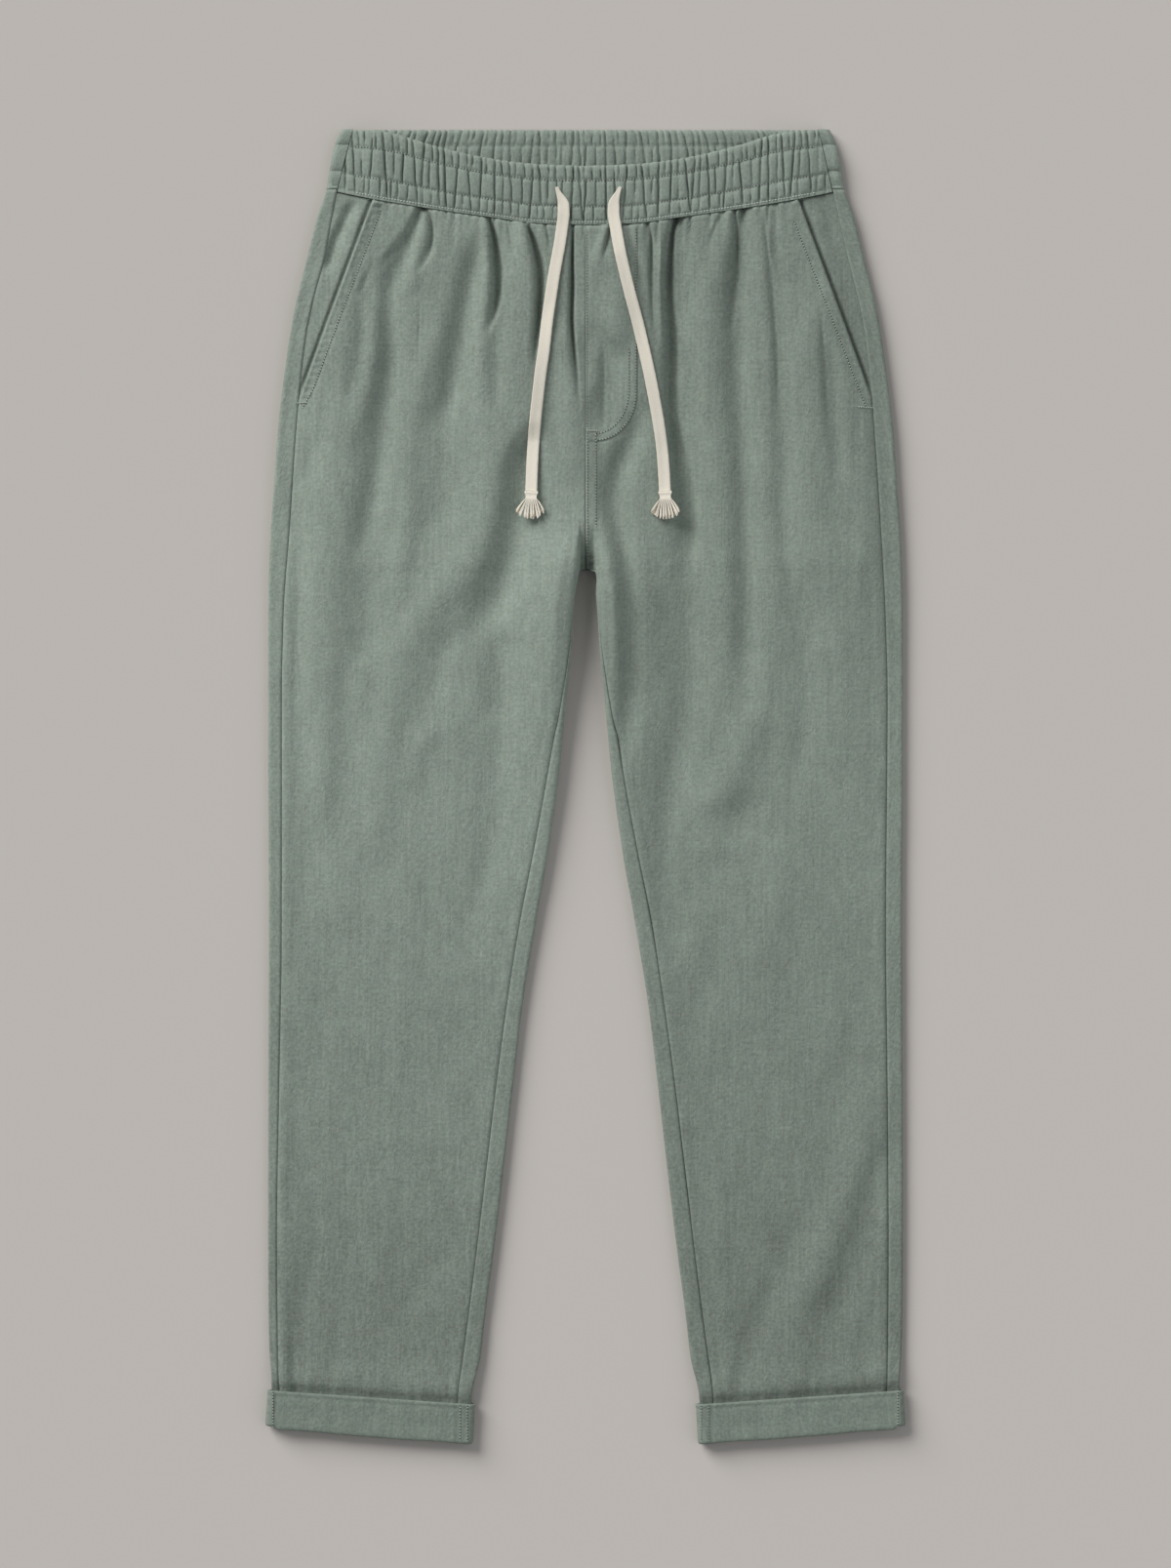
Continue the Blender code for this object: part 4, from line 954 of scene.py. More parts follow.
# %% [markdown]
# ## Making a tube
# Bands, cuffs and tapes are tubes: rings of corners, one after the other. Their doubled corners
# are merged, the ends are filled, and the faces are then turned outwards.

# %% Tubes
TUBE_SHARP = 55


def tube(name, rings, grain_map, material, closed=False):
    """A skin over rings (count, outline, 3); its two ends are filled unless it runs round."""
    points = np.concatenate([rings, rings[:, :1]], axis=1)
    flat = np.concatenate([grain_map, grain_map[:, :1] + (grain_map[:, -1:] - grain_map[:, -2:-1])],
                          axis=1)
    if closed:
        points = np.concatenate([points, points[:1]])
        flat = np.concatenate([flat, flat[:1] + (flat[-1:] - flat[-2:-1])])
    piece = grid_object(name, points, flat, material)
    work = bmesh.new()
    work.from_mesh(piece.data)
    bmesh.ops.remove_doubles(work, verts=work.verts[:], dist=1e-7)
    open_edges = [edge for edge in work.edges if edge.is_boundary]
    if open_edges:
        bmesh.ops.holes_fill(work, edges=open_edges)
    bmesh.ops.recalc_face_normals(work, faces=work.faces[:])
    work.to_mesh(piece.data)
    work.free()
    piece.data.shade_smooth()
    piece.data.set_sharp_from_angle(angle=math.radians(TUBE_SHARP))
    return piece


print("edges sharper than", TUBE_SHARP, "degrees stay sharp")

# %% Spacing of the corners
EDGE_STEPS = np.array([0, 0.45, 0.9, 1.5, 2.3, 3.4, 5.0, 7.0])


def spread(start, first, total, pitch, wanted):
    """Distances across each row: fine up to the first mark and at the end, between them as wanted."""
    share = np.linspace(0, 1, 17)[None, :] ** 1.15
    last = total - EDGE_STEPS[-1]
    count = int(round(float((last - first).max()) / pitch))
    dense = first + (last - first) * np.linspace(0, 1, 600)
    weight = np.cumsum(wanted(dense), axis=1)
    weight = (weight - weight[:, :1]) / (weight[:, -1:] - weight[:, :1])
    even = np.linspace(0, 1, count + 1)[1:-1]
    middle = np.stack([np.interp(even, *pair) for pair in zip(weight, dense)])
    return np.concatenate([start + (first - start) * share, middle, total - EDGE_STEPS[::-1]], axis=1)


def seam_dip(distance, depth, width):
    """Cloth sinks where it is sewn."""
    return -depth * bump(distance, width)


print("steps at an edge", EDGE_STEPS)

# %% [markdown]
# ## The fronts
# Each front runs from the centre seam and inseam to the side seam, and is cut away at the slant
# pocket. Between the legs it turns down over the inner edge to its seam.

# %% Rolled edges
ROLL_SQUARE = 2.9           # 2 is a round roll, more is squarer
OVERHANG = 0.5              # how far it turns in at the floor


def rolled(angle, radius):
    """How far out and how far an edge roll has turned: a soft corner, squarer than round."""
    out = np.abs(np.sin(angle)) ** (2 / ROLL_SQUARE)
    fall = 1 - np.sign(np.cos(angle)) * np.abs(np.cos(angle)) ** (2 / ROLL_SQUARE)
    return radius * out, radius * fall


def tucked(height, radius):
    """The roll hangs over: it is widest near its top and turns in below."""
    return 1 - OVERHANG * smooth(height / radius, 1.55, 0)


def inner_roll(form, turn):
    """The roll over the inner edge: radius, angle, first reach from the seam, and where it ends."""
    radius, angle = form.fork / 2, np.radians(turn)
    start = np.where(form.inner > 0, np.where(form.turn > 0, GAP, GAP / 2), 0)
    tangent = np.where(form.inner > 0, form.inner + radius, GAP / 2 + radius * np.sin(angle))
    return radius, angle, start, tangent


print("an eighth of a roll of radius 5", [round(float(way), 2) for way in rolled(math.pi / 4, 5.0)])

# %% Outline and level of a front
FORK_WALLS = {"right": 4.4, "left": 7.4}    # at the fork, each leg's inner edge from the centre
FORK_SHOULDER = 46.0        # how far from the fork the cloth comes down from it
FORK_ROWS_ABOVE = (262, 338)    # the cloth rises towards the fork between these rows


def front_limit(side, row, down):
    """Outer edge of a front: the pocket's cut edge, then the side seam."""
    edge = side_seam(side, row)
    start, end = POCKET_EDGE
    share = (down - start.down) / (end.down - start.down)
    slant = start.across + share * (end.across - start.across)
    return np.where(down < end.down, np.minimum(edge, slant), edge) - GAP / 2


def level(row, across):
    """Height of the upper layer's outer face, and how freely it creases there, from 0 to 1."""
    form = section(row)
    height, from_outer = arched(form, across)
    opened = np.where(form.inner > 0, 1, smooth(row, *FORK_ROWS_ABOVE))
    inner = np.where(form.inner > 0, form.inner, FORK_WALLS["right"] * opened)
    from_inner = across - form.fork / 2 - inner
    height = height + (form.fork - form.middle) * (1 - smooth(from_inner, 0, FORK_SHOULDER)) * opened
    calm = smooth(from_outer, -4, 5) * (1 - (1 - smooth(from_inner, -4.5, 2)) * opened)
    return form.lift + height, calm


print("level at the centre of the hips", float(level(200.0, 0.0)[0]))

# %% [markdown]
# ## Pocket edge and seam allowances
# The pocket's edge is rolled and topstitched, and the strip between puckers. Along the seams the
# turned-in cloth shows through as a low step.

# %% Pocket edge and allowances
POCKET_ROWS = (214, 202)    # the pocket's edge meets the side seam between these rows
POCKET_LEAN = 0.937         # across to square of the pocket's slanting edge
POCKET_RUN = 1.067          # its length for each millimetre down
POCKET_STITCH = 8.4         # from the pocket's edge to its topstitching
PUCKER = 6.0                # spacing of the small puckers between them
PUCKER_HEIGHT = {"right": 1.0, "left": 0.35}


def pocket_relief(edge, down, puckered):
    """Rolled pocket edge, the puckered strip beside it and its line of stitches."""
    along = down * POCKET_RUN
    strip = smooth(edge, 0.8, 2.5) * (1 - smooth(edge, POCKET_STITCH - 2.6, POCKET_STITCH - 0.8))
    wobble = along + 1.6 * rumple(along, down * 0, 17.0, 5)
    height = puckered * strip * np.sin(math.tau * wobble / PUCKER)
    height += 0.7 * bump(edge - 1.4, 1.3) - 0.5 * bump(edge, 0.6)
    height -= 0.55 * bump(edge - POCKET_STITCH, 1.0)
    return height


def allowance(edge, along, depth=0.38, width=9.0, seed=1):
    """The seam's turned-in cloth shows as a low step that wanders along the seam."""
    reach = width + 1.4 * rumple(along, along * 0, 38.0, seed)
    swell = 1 + 0.5 * rumple(along, along * 0, 14.0, seed + 1)
    return depth * swell * smooth(edge, 0.6, 3.0) * (1 - smooth(edge, reach - 2.2, reach + 1.2))


print("length of the pocket's edge", round((POCKET_EDGE[1].down - POCKET_EDGE[0].down) * POCKET_RUN, 1))

# %% [markdown]
# ## Heights of a front
# The height of each corner is the level of the layer, less the drop at a rolled edge, plus all
# relief: creases, folds, gathers, seams, pocket edge and the strip that sinks towards the fork.

# %% Heights of a front
FLOOR_OF_FRONT = 2.4        # the lowest that a front may sink, clear of the back
RIDGE_MOST = 4.0            # the highest that a ridge stands over its panel
FREE_GATHERS = {"right": (8, 20), "left": (30, 46)}     # outwards of the centre seam and the fly
STRIP_ROLL = 12.0           # radius of the rolls beside the sinking strip at the fork
STRIP_DEEP = 21             # how deep the strip has sunk at the fork
STRIP_ROWS = (299, 343)     # it sinks between these rows
STRIP_FOLDS = (329.5, 334.5)    # and folds across at these
FELLED_ROWS = (229, 233)    # the felled seam begins between these


def tucked_in(across, down):
    """Where a leg runs into its cuff it sinks and bunches a little."""
    above = hem_edge(across, "cuff_top") - down
    sunk = 0.5 * bump(above - 12, 6) - 2.2 * smooth(above, 7, 0.5)
    bunched = 0.55 * rumple(across, down * 0.3, 9.0, 21) + 0.35 * rumple(across, down * 0.5, 5.0, 22)
    return sunk + bunched * smooth(above, 30, 4)


def held(relief, room):
    """Keeps ridges and troughs within the room that the cloth has, softly."""
    ridge = RIDGE_MOST * np.tanh(np.maximum(relief, 0) / RIDGE_MOST)
    return ridge - room * np.tanh(np.maximum(-relief, 0) / room)


def crotch_strip(across, down):
    """The felled seam is a low raised strip, and between the leg rolls it sinks towards the fork."""
    above = down < FORK
    depth = STRIP_DEEP * smooth(down, *STRIP_ROWS) ** 1.15 * above
    outside = np.maximum(-FORK_WALLS["right"] - across, across - FORK_WALLS["left"])
    radius = np.minimum(STRIP_ROLL, 0.8 + 0.55 * depth)
    nearness = np.clip(1 - outside / radius, 0, 1)
    fall = np.minimum(radius * (1 - (1 - nearness ** ROLL_SQUARE) ** (1 / ROLL_SQUARE)), depth)
    inside = smooth(-outside, 0, 1.3)
    folded = 1.4 * sum(bump(down - row, 1.1) for row in STRIP_FOLDS) * above
    felled = smooth(across, 0.3, 1.2) * smooth(across, 9.2, 8.2) * smooth(down, *FELLED_ROWS)
    return 0.5 * felled * above - fall * (1 - inside) - (depth + folded) * inside


def front_heights(side, row, across, down, drop, inner, outer):
    """Height of a front's outer face, with all that is in it."""
    sign = SIDES[side]
    base, calm = level(row, across)
    turned = np.where(drop > 0, np.clip(1 - drop / 1.2, 0, 1), 1)
    relief = creases(sign * across, down) + crinkle(sign * across, down) + folds(sign * across, down)
    height = base - drop + held(relief * calm * turned, base - FLOOR_OF_FRONT)
    below = row - WAIST_SEAM
    free_top = smooth(across, *FREE_GATHERS[side])
    height += panel_gathers(sign * across, below) * (0.25 + 0.75 * free_top) * smooth(below, -1, 2)
    height += seam_dip(inner, 0.7, 0.8) * (0.5 + 0.5 * smooth(down, 240, 300))
    height += seam_dip(below, 1.3, 1.5)
    height += tucked_in(across, down)
    pocket = smooth(down, *POCKET_ROWS)
    height += pocket_relief(outer * POCKET_LEAN, down, PUCKER_HEIGHT[side]) * pocket
    height += (seam_dip(outer, 1.0, 0.7) + allowance(outer, down)) * (1 - pocket)
    height += allowance(inner, down, 0.28, 7.5, 4) * smooth(row, 420, 450)
    height += crotch_strip(sign * across, down)
    return np.maximum(height, np.minimum(FLOOR_OF_FRONT, base - drop))


print("a ridge of 9 is held at", round(float(held(9.0, 10.0)), 2))

# %% Corners of a front
CLOTH = 1.0                 # thickness as drawn
FRONT_PITCH = 1.95          # distance of its corners where no fold is near
FINE_ROWS = (280, 335)      # towards the fork the fine corners reach further out


def front_grid(side, rows):
    """Row, place, drop, distances to both edges and place unrolled, for all corners of a front."""
    row = rows[:, None]
    form = leg_section(side, row)
    radius, angle, start, tangent = inner_roll(form, form.turn)
    tangent = np.where((form.inner > 0) & (form.turn < 0.01), form.seam, tangent)
    limit = front_limit(side, row, row)
    for _ in range(4):      # how far down the edge is changes how far across it is
        limit = front_limit(side, row, row_down(row, limit, True))
    total = (limit - tangent + radius * angle)[:, 0]
    wall = np.where(form.inner > 0, form.seam, FORK_WALLS[side] * smooth(row, *FINE_ROWS))
    anchor = wall + 8 + 12 * smooth(row, *FINE_ROWS) * smooth(row, 490, 350)
    first = (anchor - tangent + radius * angle) * np.ones_like(limit)
    reach = spread(
        start * np.ones_like(limit), first, total[:, None], FRONT_PITCH,
        lambda away: closeness(SIDES[side] * (tangent + away - radius * angle), row),
    )
    left = angle - reach / radius
    out, fall = rolled(np.maximum(left, 0), radius)
    unrolled = tangent + reach - radius * angle
    across, drop = np.where(left > 0, tangent - out, unrolled), np.where(left > 0, fall, 0)
    return row, across, row_down(row, across, True), drop, reach - start, limit - across, unrolled


print("corners across a front", front_grid("right", np.array([200.0]))[1].shape[1])

# %% Fronts
FORK_ROWS = np.concatenate([np.arange(300.5, 338.2, 1.5), np.arange(340, 356, 1.5)])
FRONT_ROWS = np.concatenate([
    74.1 + EDGE_STEPS, np.arange(83.4, 300, 2.15), FORK_ROWS, np.arange(357.6, 958, 3.3),
    np.arange(960, 1002.5, 2.2), [HEM_ROW],
])
fronts = {}
for side, sign in SIDES.items():
    row, across, down, drop, inner, outer, unrolled = front_grid(side, FRONT_ROWS)
    height = front_heights(side, row, across, down, drop, inner, outer)
    threads = np.stack([unrolled * MM + 0.3 * (sign > 0), down * MM], axis=-1)
    fronts[side] = panel(
        f"cloth_front_{side}", place(sign * across, down, height), threads, sign < 0, CLOTH,
        SAGE_LEG[side],
    )
    print("front", side, height.shape, "height", round(float(height.min()), 1),
          round(float(height.max()), 1))

# %% [markdown]
# ## The pocket facings
# Behind each slant opening lies a facing of the same cloth. It shows as a triangle between the
# pocket's edge and the side seam, lower than the front.

# %% Pocket facings
FACING_UNDER = 11.0     # how far it runs on under the front
FACING_TUCK = 1.2       # and under the back's edge
FACING_BELOW = 2.1      # lower than the front
FACING_SINK = {"right": 2.0, "left": 3.9}   # and lower still beside the pocket's edge
FACING_FOLDS = {
    "right": (
        Crease(4.4, -4.2, ((-180, 60), (-185, 72), (-190, 82), (-194, 92), (-197, 104))),
        Crease(3.5, -1.1, ((-162, 66), (-165, 78))),
        Crease(6.0, 0.7, ((-190, 70), (-201, 100), (-206, 130))),
    ),
    "left": (
        Crease(5.0, 0.6, ((176, 70), (186, 95), (196, 125))),
        Crease(4.0, -0.7, ((186, 66), (190, 86))),
    ),
}


def fold_height(folds, across, down):
    """Height of the facing's folds."""
    across, down = np.broadcast_arrays(across, down)
    height = np.zeros(across.shape)
    for fold in folds:
        first, last = fold.line[0][1], fold.line[-1][1]
        fade = smooth(down, first - 8, first + 4) * smooth(down, last + 10, last - 6)
        height += fold.depth * bump(away_from(fold, across, down), fold.width) * fade
    return height


facings = {}
for side, sign in SIDES.items():
    row = np.arange(47.0, 221.5, 1.6)[:, None]
    outside = side_seam(side, row) + FACING_TUCK
    inside = front_limit(side, row, row) - FACING_UNDER
    across = inside + (outside - inside) * np.linspace(0, 1, 34)
    top = band_edge(across, "seam") + 0.7
    down = np.maximum(row, top) * smooth(row, 60, 50) + row * smooth(row, 50, 60)
    height = level(row, across)[0] - FACING_BELOW + 0.7 * crinkle(sign * across, down)
    beside = across - front_limit(side, row, row)
    height -= FACING_SINK[side] * bump(beside - 0.9, 1.9) * smooth(row, 206, 190)
    height += fold_height(FACING_FOLDS[side], sign * across, down) * smooth(outside - across, 0, 4)
    height += 0.8 * smooth(outside - across, 12, 1.5)
    threads = np.stack([across * MM + 0.7, down * MM], axis=-1)
    facings[side] = panel(
        f"cloth_pocket_facing_{side}", place(sign * across, down, height), threads, sign < 0,
        0.8 * CLOTH, SAGE_LEG[side],
    )
print("facings", len(facings))

# %% [markdown]
# ## The backs
# Each back lies under its front and is wider: it rolls over both edges of the leg, up to the
# seams on top. That is why the side seam and the inseam show from above.

# %% Corners of a back
BACK_ROWS = np.concatenate([
    np.arange(46.5, 300, 3.0), FORK_ROWS, np.arange(358, 1002, 3.2), [HEM_ROW],
])
FAR = 50.0      # stands for the distance of a corner that is nowhere near a seam


def back_grid(side, rows):
    """From the inseam round the inner edge, along the underside and round the outer edge.

    Gives the row, the place across, the height, how much a corner is on the upper side, and how
    far it is from the inseam and from the side seam.
    """
    row = rows[:, None]
    form = leg_section(side, row)
    radius, angle, start, tangent = inner_roll(form, form.back_turn)
    flat_seam = (form.turn < 0.01) & (form.inner > 0)
    strip = np.where(flat_seam, np.maximum(form.seam - GAP / 2 - form.inner - radius, 0), 0)
    arc = radius * angle
    length = np.maximum(strip + arc, 9.0)
    reach = length * np.linspace(0, 1, 19)
    begin = np.where(strip > 0, 0, start)
    bend = angle - np.maximum(reach - strip + begin, 0) / radius
    out, fall = rolled(np.maximum(bend, 0), radius)
    round_x = np.where(bend > 0, tangent - out * tucked(fall, radius),
                       tangent + (reach - strip) + begin - radius * angle)
    on_top = reach < strip
    first_x = np.where(on_top, form.seam - GAP / 2 - reach, round_x)
    first_z = np.where(on_top, 2 * radius, np.where(bend > 0, fall, 0))
    edge = form.edge / 2
    centre = form.outer - edge
    share = np.linspace(0, 1, 17)[1:]
    flat_x = first_x[:, -1:] + (centre - first_x[:, -1:]) * share
    out, fall = rolled(np.pi * np.linspace(0, 1, 23)[1:], edge)
    roll_x, roll_z = centre + out * tucked(fall, edge), fall + 0 * centre
    seam = side_seam(side, row) + GAP / 2
    top_x = centre + (seam - centre) * np.array([0.2, 0.4, 0.6, 0.75, 0.86, 0.93, 0.97, 1.0])
    top_z = level(row, top_x)[0] - form.lift
    below = flat_x * 0
    far = [np.full_like(part, FAR) for part in (first_x, flat_x, roll_x, top_x)]
    return row, *(np.concatenate(parts, axis=1) for parts in (
        [first_x, flat_x, roll_x, top_x],
        [first_z + form.lift, below + form.lift, roll_z + form.lift, top_z + form.lift],
        [smooth(first_z, radius, 2 * radius), below, smooth(roll_z, edge, 2 * edge), top_x * 0 + 1],
        [reach, *far[1:]],
        [*far[:3], np.abs(top_x - seam)],
    ))


print("rows of a back", len(BACK_ROWS))

# %% Backs
def run_of(across, height, axis):
    """How far each corner is along its own cloth."""
    steps = [np.diff(part, axis=axis, prepend=np.take(part, [0], axis)) for part in (across, height)]
    return np.cumsum(np.hypot(*steps), axis=axis)


backs = {}
for side, sign in SIDES.items():
    row, across, height, upper, from_seam, to_side = back_grid(side, BACK_ROWS)
    down = row_down(row, across, False)
    outer_part = across > side_seam(side, row) - 1
    relief = creases(sign * across, down) * smooth(to_side, FAR + 0.1, 0) + 0.9 * crinkle(sign * across, down)
    height = height + held(relief, 3.0) * upper * np.where(outer_part, 1, 0.6)
    height += seam_dip(from_seam, 0.7, 0.8) * upper + seam_dip(to_side, 0.9, 0.7)
    height += tucked_in(across, down) * upper
    threads = np.stack([run_of(across, height, 1) * MM + 0.9 + 0.6 * (sign > 0), down * MM], axis=-1)
    backs[side] = panel(
        f"cloth_back_{side}", place(sign * across, down, height), threads, sign > 0, CLOTH,
        SAGE_LEG[side],
    )
    print("back", side, height.shape)

# %% [markdown]
# ## The waistband
# A wide elastic is sewn into the band with two rows of stitches, so it shows three puffed
# channels. The front part dips at the centre; the back part stands a little higher and lies
# under it, with its inner face showing.

# %% Relief of the band
BAND_CLOTH = 2.6        # thickness of the folded cloth with its elastic
BAND_GRAIN = 0.0016     # metres of gathered cloth in a millimetre of band
BandLine = namedtuple("BandLine", "share rise gather")
BAND_LINES = (
    BandLine(0.00, -1.2, 0.45), BandLine(0.03, -0.1, 0.75), BandLine(0.08, 0.30, 1.00),
    BandLine(0.18, 0.30, 1.00), BandLine(0.235, -0.05, 0.85), BandLine(0.262, -0.95, 0.60),
    BandLine(0.29, -0.05, 0.85), BandLine(0.36, 0.35, 1.00), BandLine(0.48, 0.50, 1.00),
    BandLine(0.60, 0.35, 1.00), BandLine(0.672, -0.05, 0.85), BandLine(0.70, -0.95, 0.60),
    BandLine(0.728, -0.05, 0.85), BandLine(0.80, 0.30, 1.00), BandLine(0.88, 0.20, 0.90),
    BandLine(0.925, 0.00, 0.60), BandLine(0.950, -0.70, 0.30), BandLine(0.978, 0.35, 0.20),
    BandLine(1.00, 0.0, 0.20),
)


def band_level(across, share):
    """Height of the band's outer face without its gathers."""
    return arched(section(BAND_HEIGHT * share), np.abs(across))[0]


def band_relief(across, share):
    """Puffed channels between stitched rows, with the gathers of each channel."""
    across, share = np.broadcast_arrays(across, share)
    rise = read(BAND_LINES, "share", "rise", share)
    gather = read(BAND_LINES, "share", "gather", share)
    upper = smooth(share, 0.285, 0.24)
    lower = smooth(share, 0.68, 0.72)
    wave = (puffs(across, share, 0) * upper + puffs(across, share, 1) * (1 - upper) * (1 - lower)
            + puffs(across, share, 2) * lower)
    sag = 0.35 * rumple(across, share * 46, 19.0, 13)
    return rise + gather * (wave + sag), wave


print("relief at the centre", round(float(band_relief(np.zeros(1), np.full(1, 0.5))[0][0]), 2))

# %% Waistband, front
def on_front_band(along, share):
    """Across and down, by a share of the band's half length and of its height."""
    end = np.where(along < 0, *(side_seam(side, BAND_HEIGHT * share) for side in SIDES)) - GAP / 2
    across = along * end
    top, seam = band_edge(across, "top"), band_edge(across, "seam")
    return across, top + (seam - top) * share


def front_band_rings():
    """The band's outer face with its puffs, then its plain inner face."""
    share, share_in = np.linspace(0, 1, 37)[None, :], np.linspace(1, 0, 6)[None, :]
    along = np.linspace(-1, 1, 861)[:, None]
    across, down = on_front_band(along, share)
    calm = smooth(1 - np.abs(along), 0, 0.012)
    relief, wave = band_relief(across, share)
    height = band_level(across, share) + relief * (0.7 + 0.3 * calm)
    down = down - 0.55 * wave * bump(share, 0.09) * calm
    down = down + 0.7 * rumple(across, share * 30, 8.5, 31) * smooth(share, 0, 0.2) * smooth(share, 1, 0.8)
    across_in, down_in = on_front_band(along, share_in)
    height_in = band_level(across_in, share_in) - BAND_CLOTH - 0.5
    turned_down = 2 * band_edge(across_in[:, :1], "seam") - down_in
    rings = np.concatenate([place(across, down, height), place(across_in, down_in, height_in)], axis=1)
    threads = np.stack([
        np.concatenate([across, across_in], axis=1) * BAND_GRAIN,
        np.concatenate([down, turned_down], axis=1) * MM,
    ], axis=-1)
    return rings, threads


band_front = tube("cloth_waistband_front", *front_band_rings(), SAGE_BAND)
print("front band corners", len(band_front.data.vertices))

# %% Waistband, back
BACK_HALF = 187     # half its length along the floor
BACK_SHARES = (0, 0.01, 0.03, 0.06, 0.1, 0.17, 0.235, 0.262, 0.29, 0.37, 0.5, 0.61, 0.675, 0.7, 0.73,
               0.8, 0.88, 0.95, 0.975, 1.0)


def back_band_rings():
    """The band's outer face below, round both ends to the seams on top, then its inner face."""
    share = np.concatenate([BACK_SHARES, np.linspace(1, 0, 31)])[None, :]
    outside = (np.arange(share.shape[1]) < len(BACK_SHARES))[None, :]
    mark = np.concatenate([np.linspace(1, 0, 30), np.zeros(400), np.linspace(0, 1, 30)])[:, None]
    flat = np.concatenate([np.full(30, -1.0), np.linspace(-1, 1, 402)[1:-1], np.full(30, 1.0)])[:, None]
    down = BAND_HEIGHT * share
    form = section(down)
    radius = form.edge / 2
    centre = form.outer - radius
    sign = np.where(flat < 0, -1, 1)
    seam = np.where(flat < 0, *(side_seam(side, down) for side in SIDES)) + GAP / 2
    arc = np.pi * radius
    strip = np.maximum(centre - seam, 0)
    reach = mark * (arc + strip)
    path = (np.abs(flat) * BACK_HALF + reach) * sign
    relief, wave = band_relief(path, share)
    gentle = smooth(np.abs(path), BACK_HALF + 20, BACK_HALF + 26)
    outer_off = relief * smooth(mark, 0.25, 0.6) * (1 - 0.7 * gentle)
    off = np.where(outside, outer_off, -BAND_CLOTH - 0.3 + 0.5 * relief)
    angle = np.clip(reach / radius, 0, np.pi)
    roll_x = centre + (radius + off) * np.sin(angle) - np.maximum(reach - arc, 0)
    roll_z = radius - (radius + off) * np.cos(angle)
    edge_lift = 0.9 * bump(share, 0.03) + 0.7 * bump(share - 1, 0.03)
    flat_z = np.where(outside, edge_lift, BAND_CLOTH + 0.3 + 0.72 * relief - 0.4 * edge_lift)
    turned = mark > 0
    across = np.where(turned, sign * roll_x, flat * centre)
    height = np.where(turned, roll_z, flat_z)
    down = down - 0.45 * wave * bump(share, 0.09)
    blend = smooth(mark, 0, 0.12)
    height = np.where(turned & ~outside, height * blend + flat_z * (1 - blend), height)
    threads = np.stack(np.broadcast_arrays(path * BAND_GRAIN, down * MM + 0.2), axis=-1)
    return place(across, down, height), threads


band_back = tube("cloth_waistband_back", *back_band_rings(), SAGE_BAND)
print("back band corners", len(band_back.data.vertices))

# %% [markdown]
# ## The turned-up cuffs
# The leg's end is folded up outside and pressed: a flat ring of two layers, with a lip along its
# upper edge and a soft fold at the hem.

# %% Cuffs
CUFF_EDGE, CUFF_MIDDLE = 11.0, 10.8     # height at its edges and between them
CUFF_OUTER_LINES = 20                   # so many of its lines are on the outer face
CUFF_SIDES = ((84.2, 86.3), (244.3, 246.0))   # inner and outer end, at the top and at the hem
CuffLine = namedtuple("CuffLine", "share inset")
CUFF_LINES = (
    CuffLine(0.000, 1.5), CuffLine(0.002, 0.75), CuffLine(0.012, 0.25), CuffLine(0.035, 0.0),
    CuffLine(0.065, 0.0), CuffLine(0.10, 0.30), CuffLine(0.135, 0.42), CuffLine(0.17, 0.30),
    CuffLine(0.22, 0.20), CuffLine(0.30, 0.20), CuffLine(0.40, 0.22), CuffLine(0.50, 0.22),
    CuffLine(0.60, 0.18), CuffLine(0.70, 0.12), CuffLine(0.80, 0.05), CuffLine(0.88, 0.0),
    CuffLine(0.93, 0.05), CuffLine(0.965, 0.30), CuffLine(0.985, 0.80), CuffLine(0.996, 1.5),
    CuffLine(1.000, 2.4), CuffLine(0.994, 3.2), CuffLine(0.98, 3.8), CuffLine(0.94, 3.9),
    CuffLine(0.90, 3.8), CuffLine(0.88, 2.3), CuffLine(0.60, 2.2), CuffLine(0.30, 2.2),
    CuffLine(0.02, 2.2),
)
CUFF_SEAMS = {"right": (-98.6, -237.5), "left": (97.0, 237.5)}


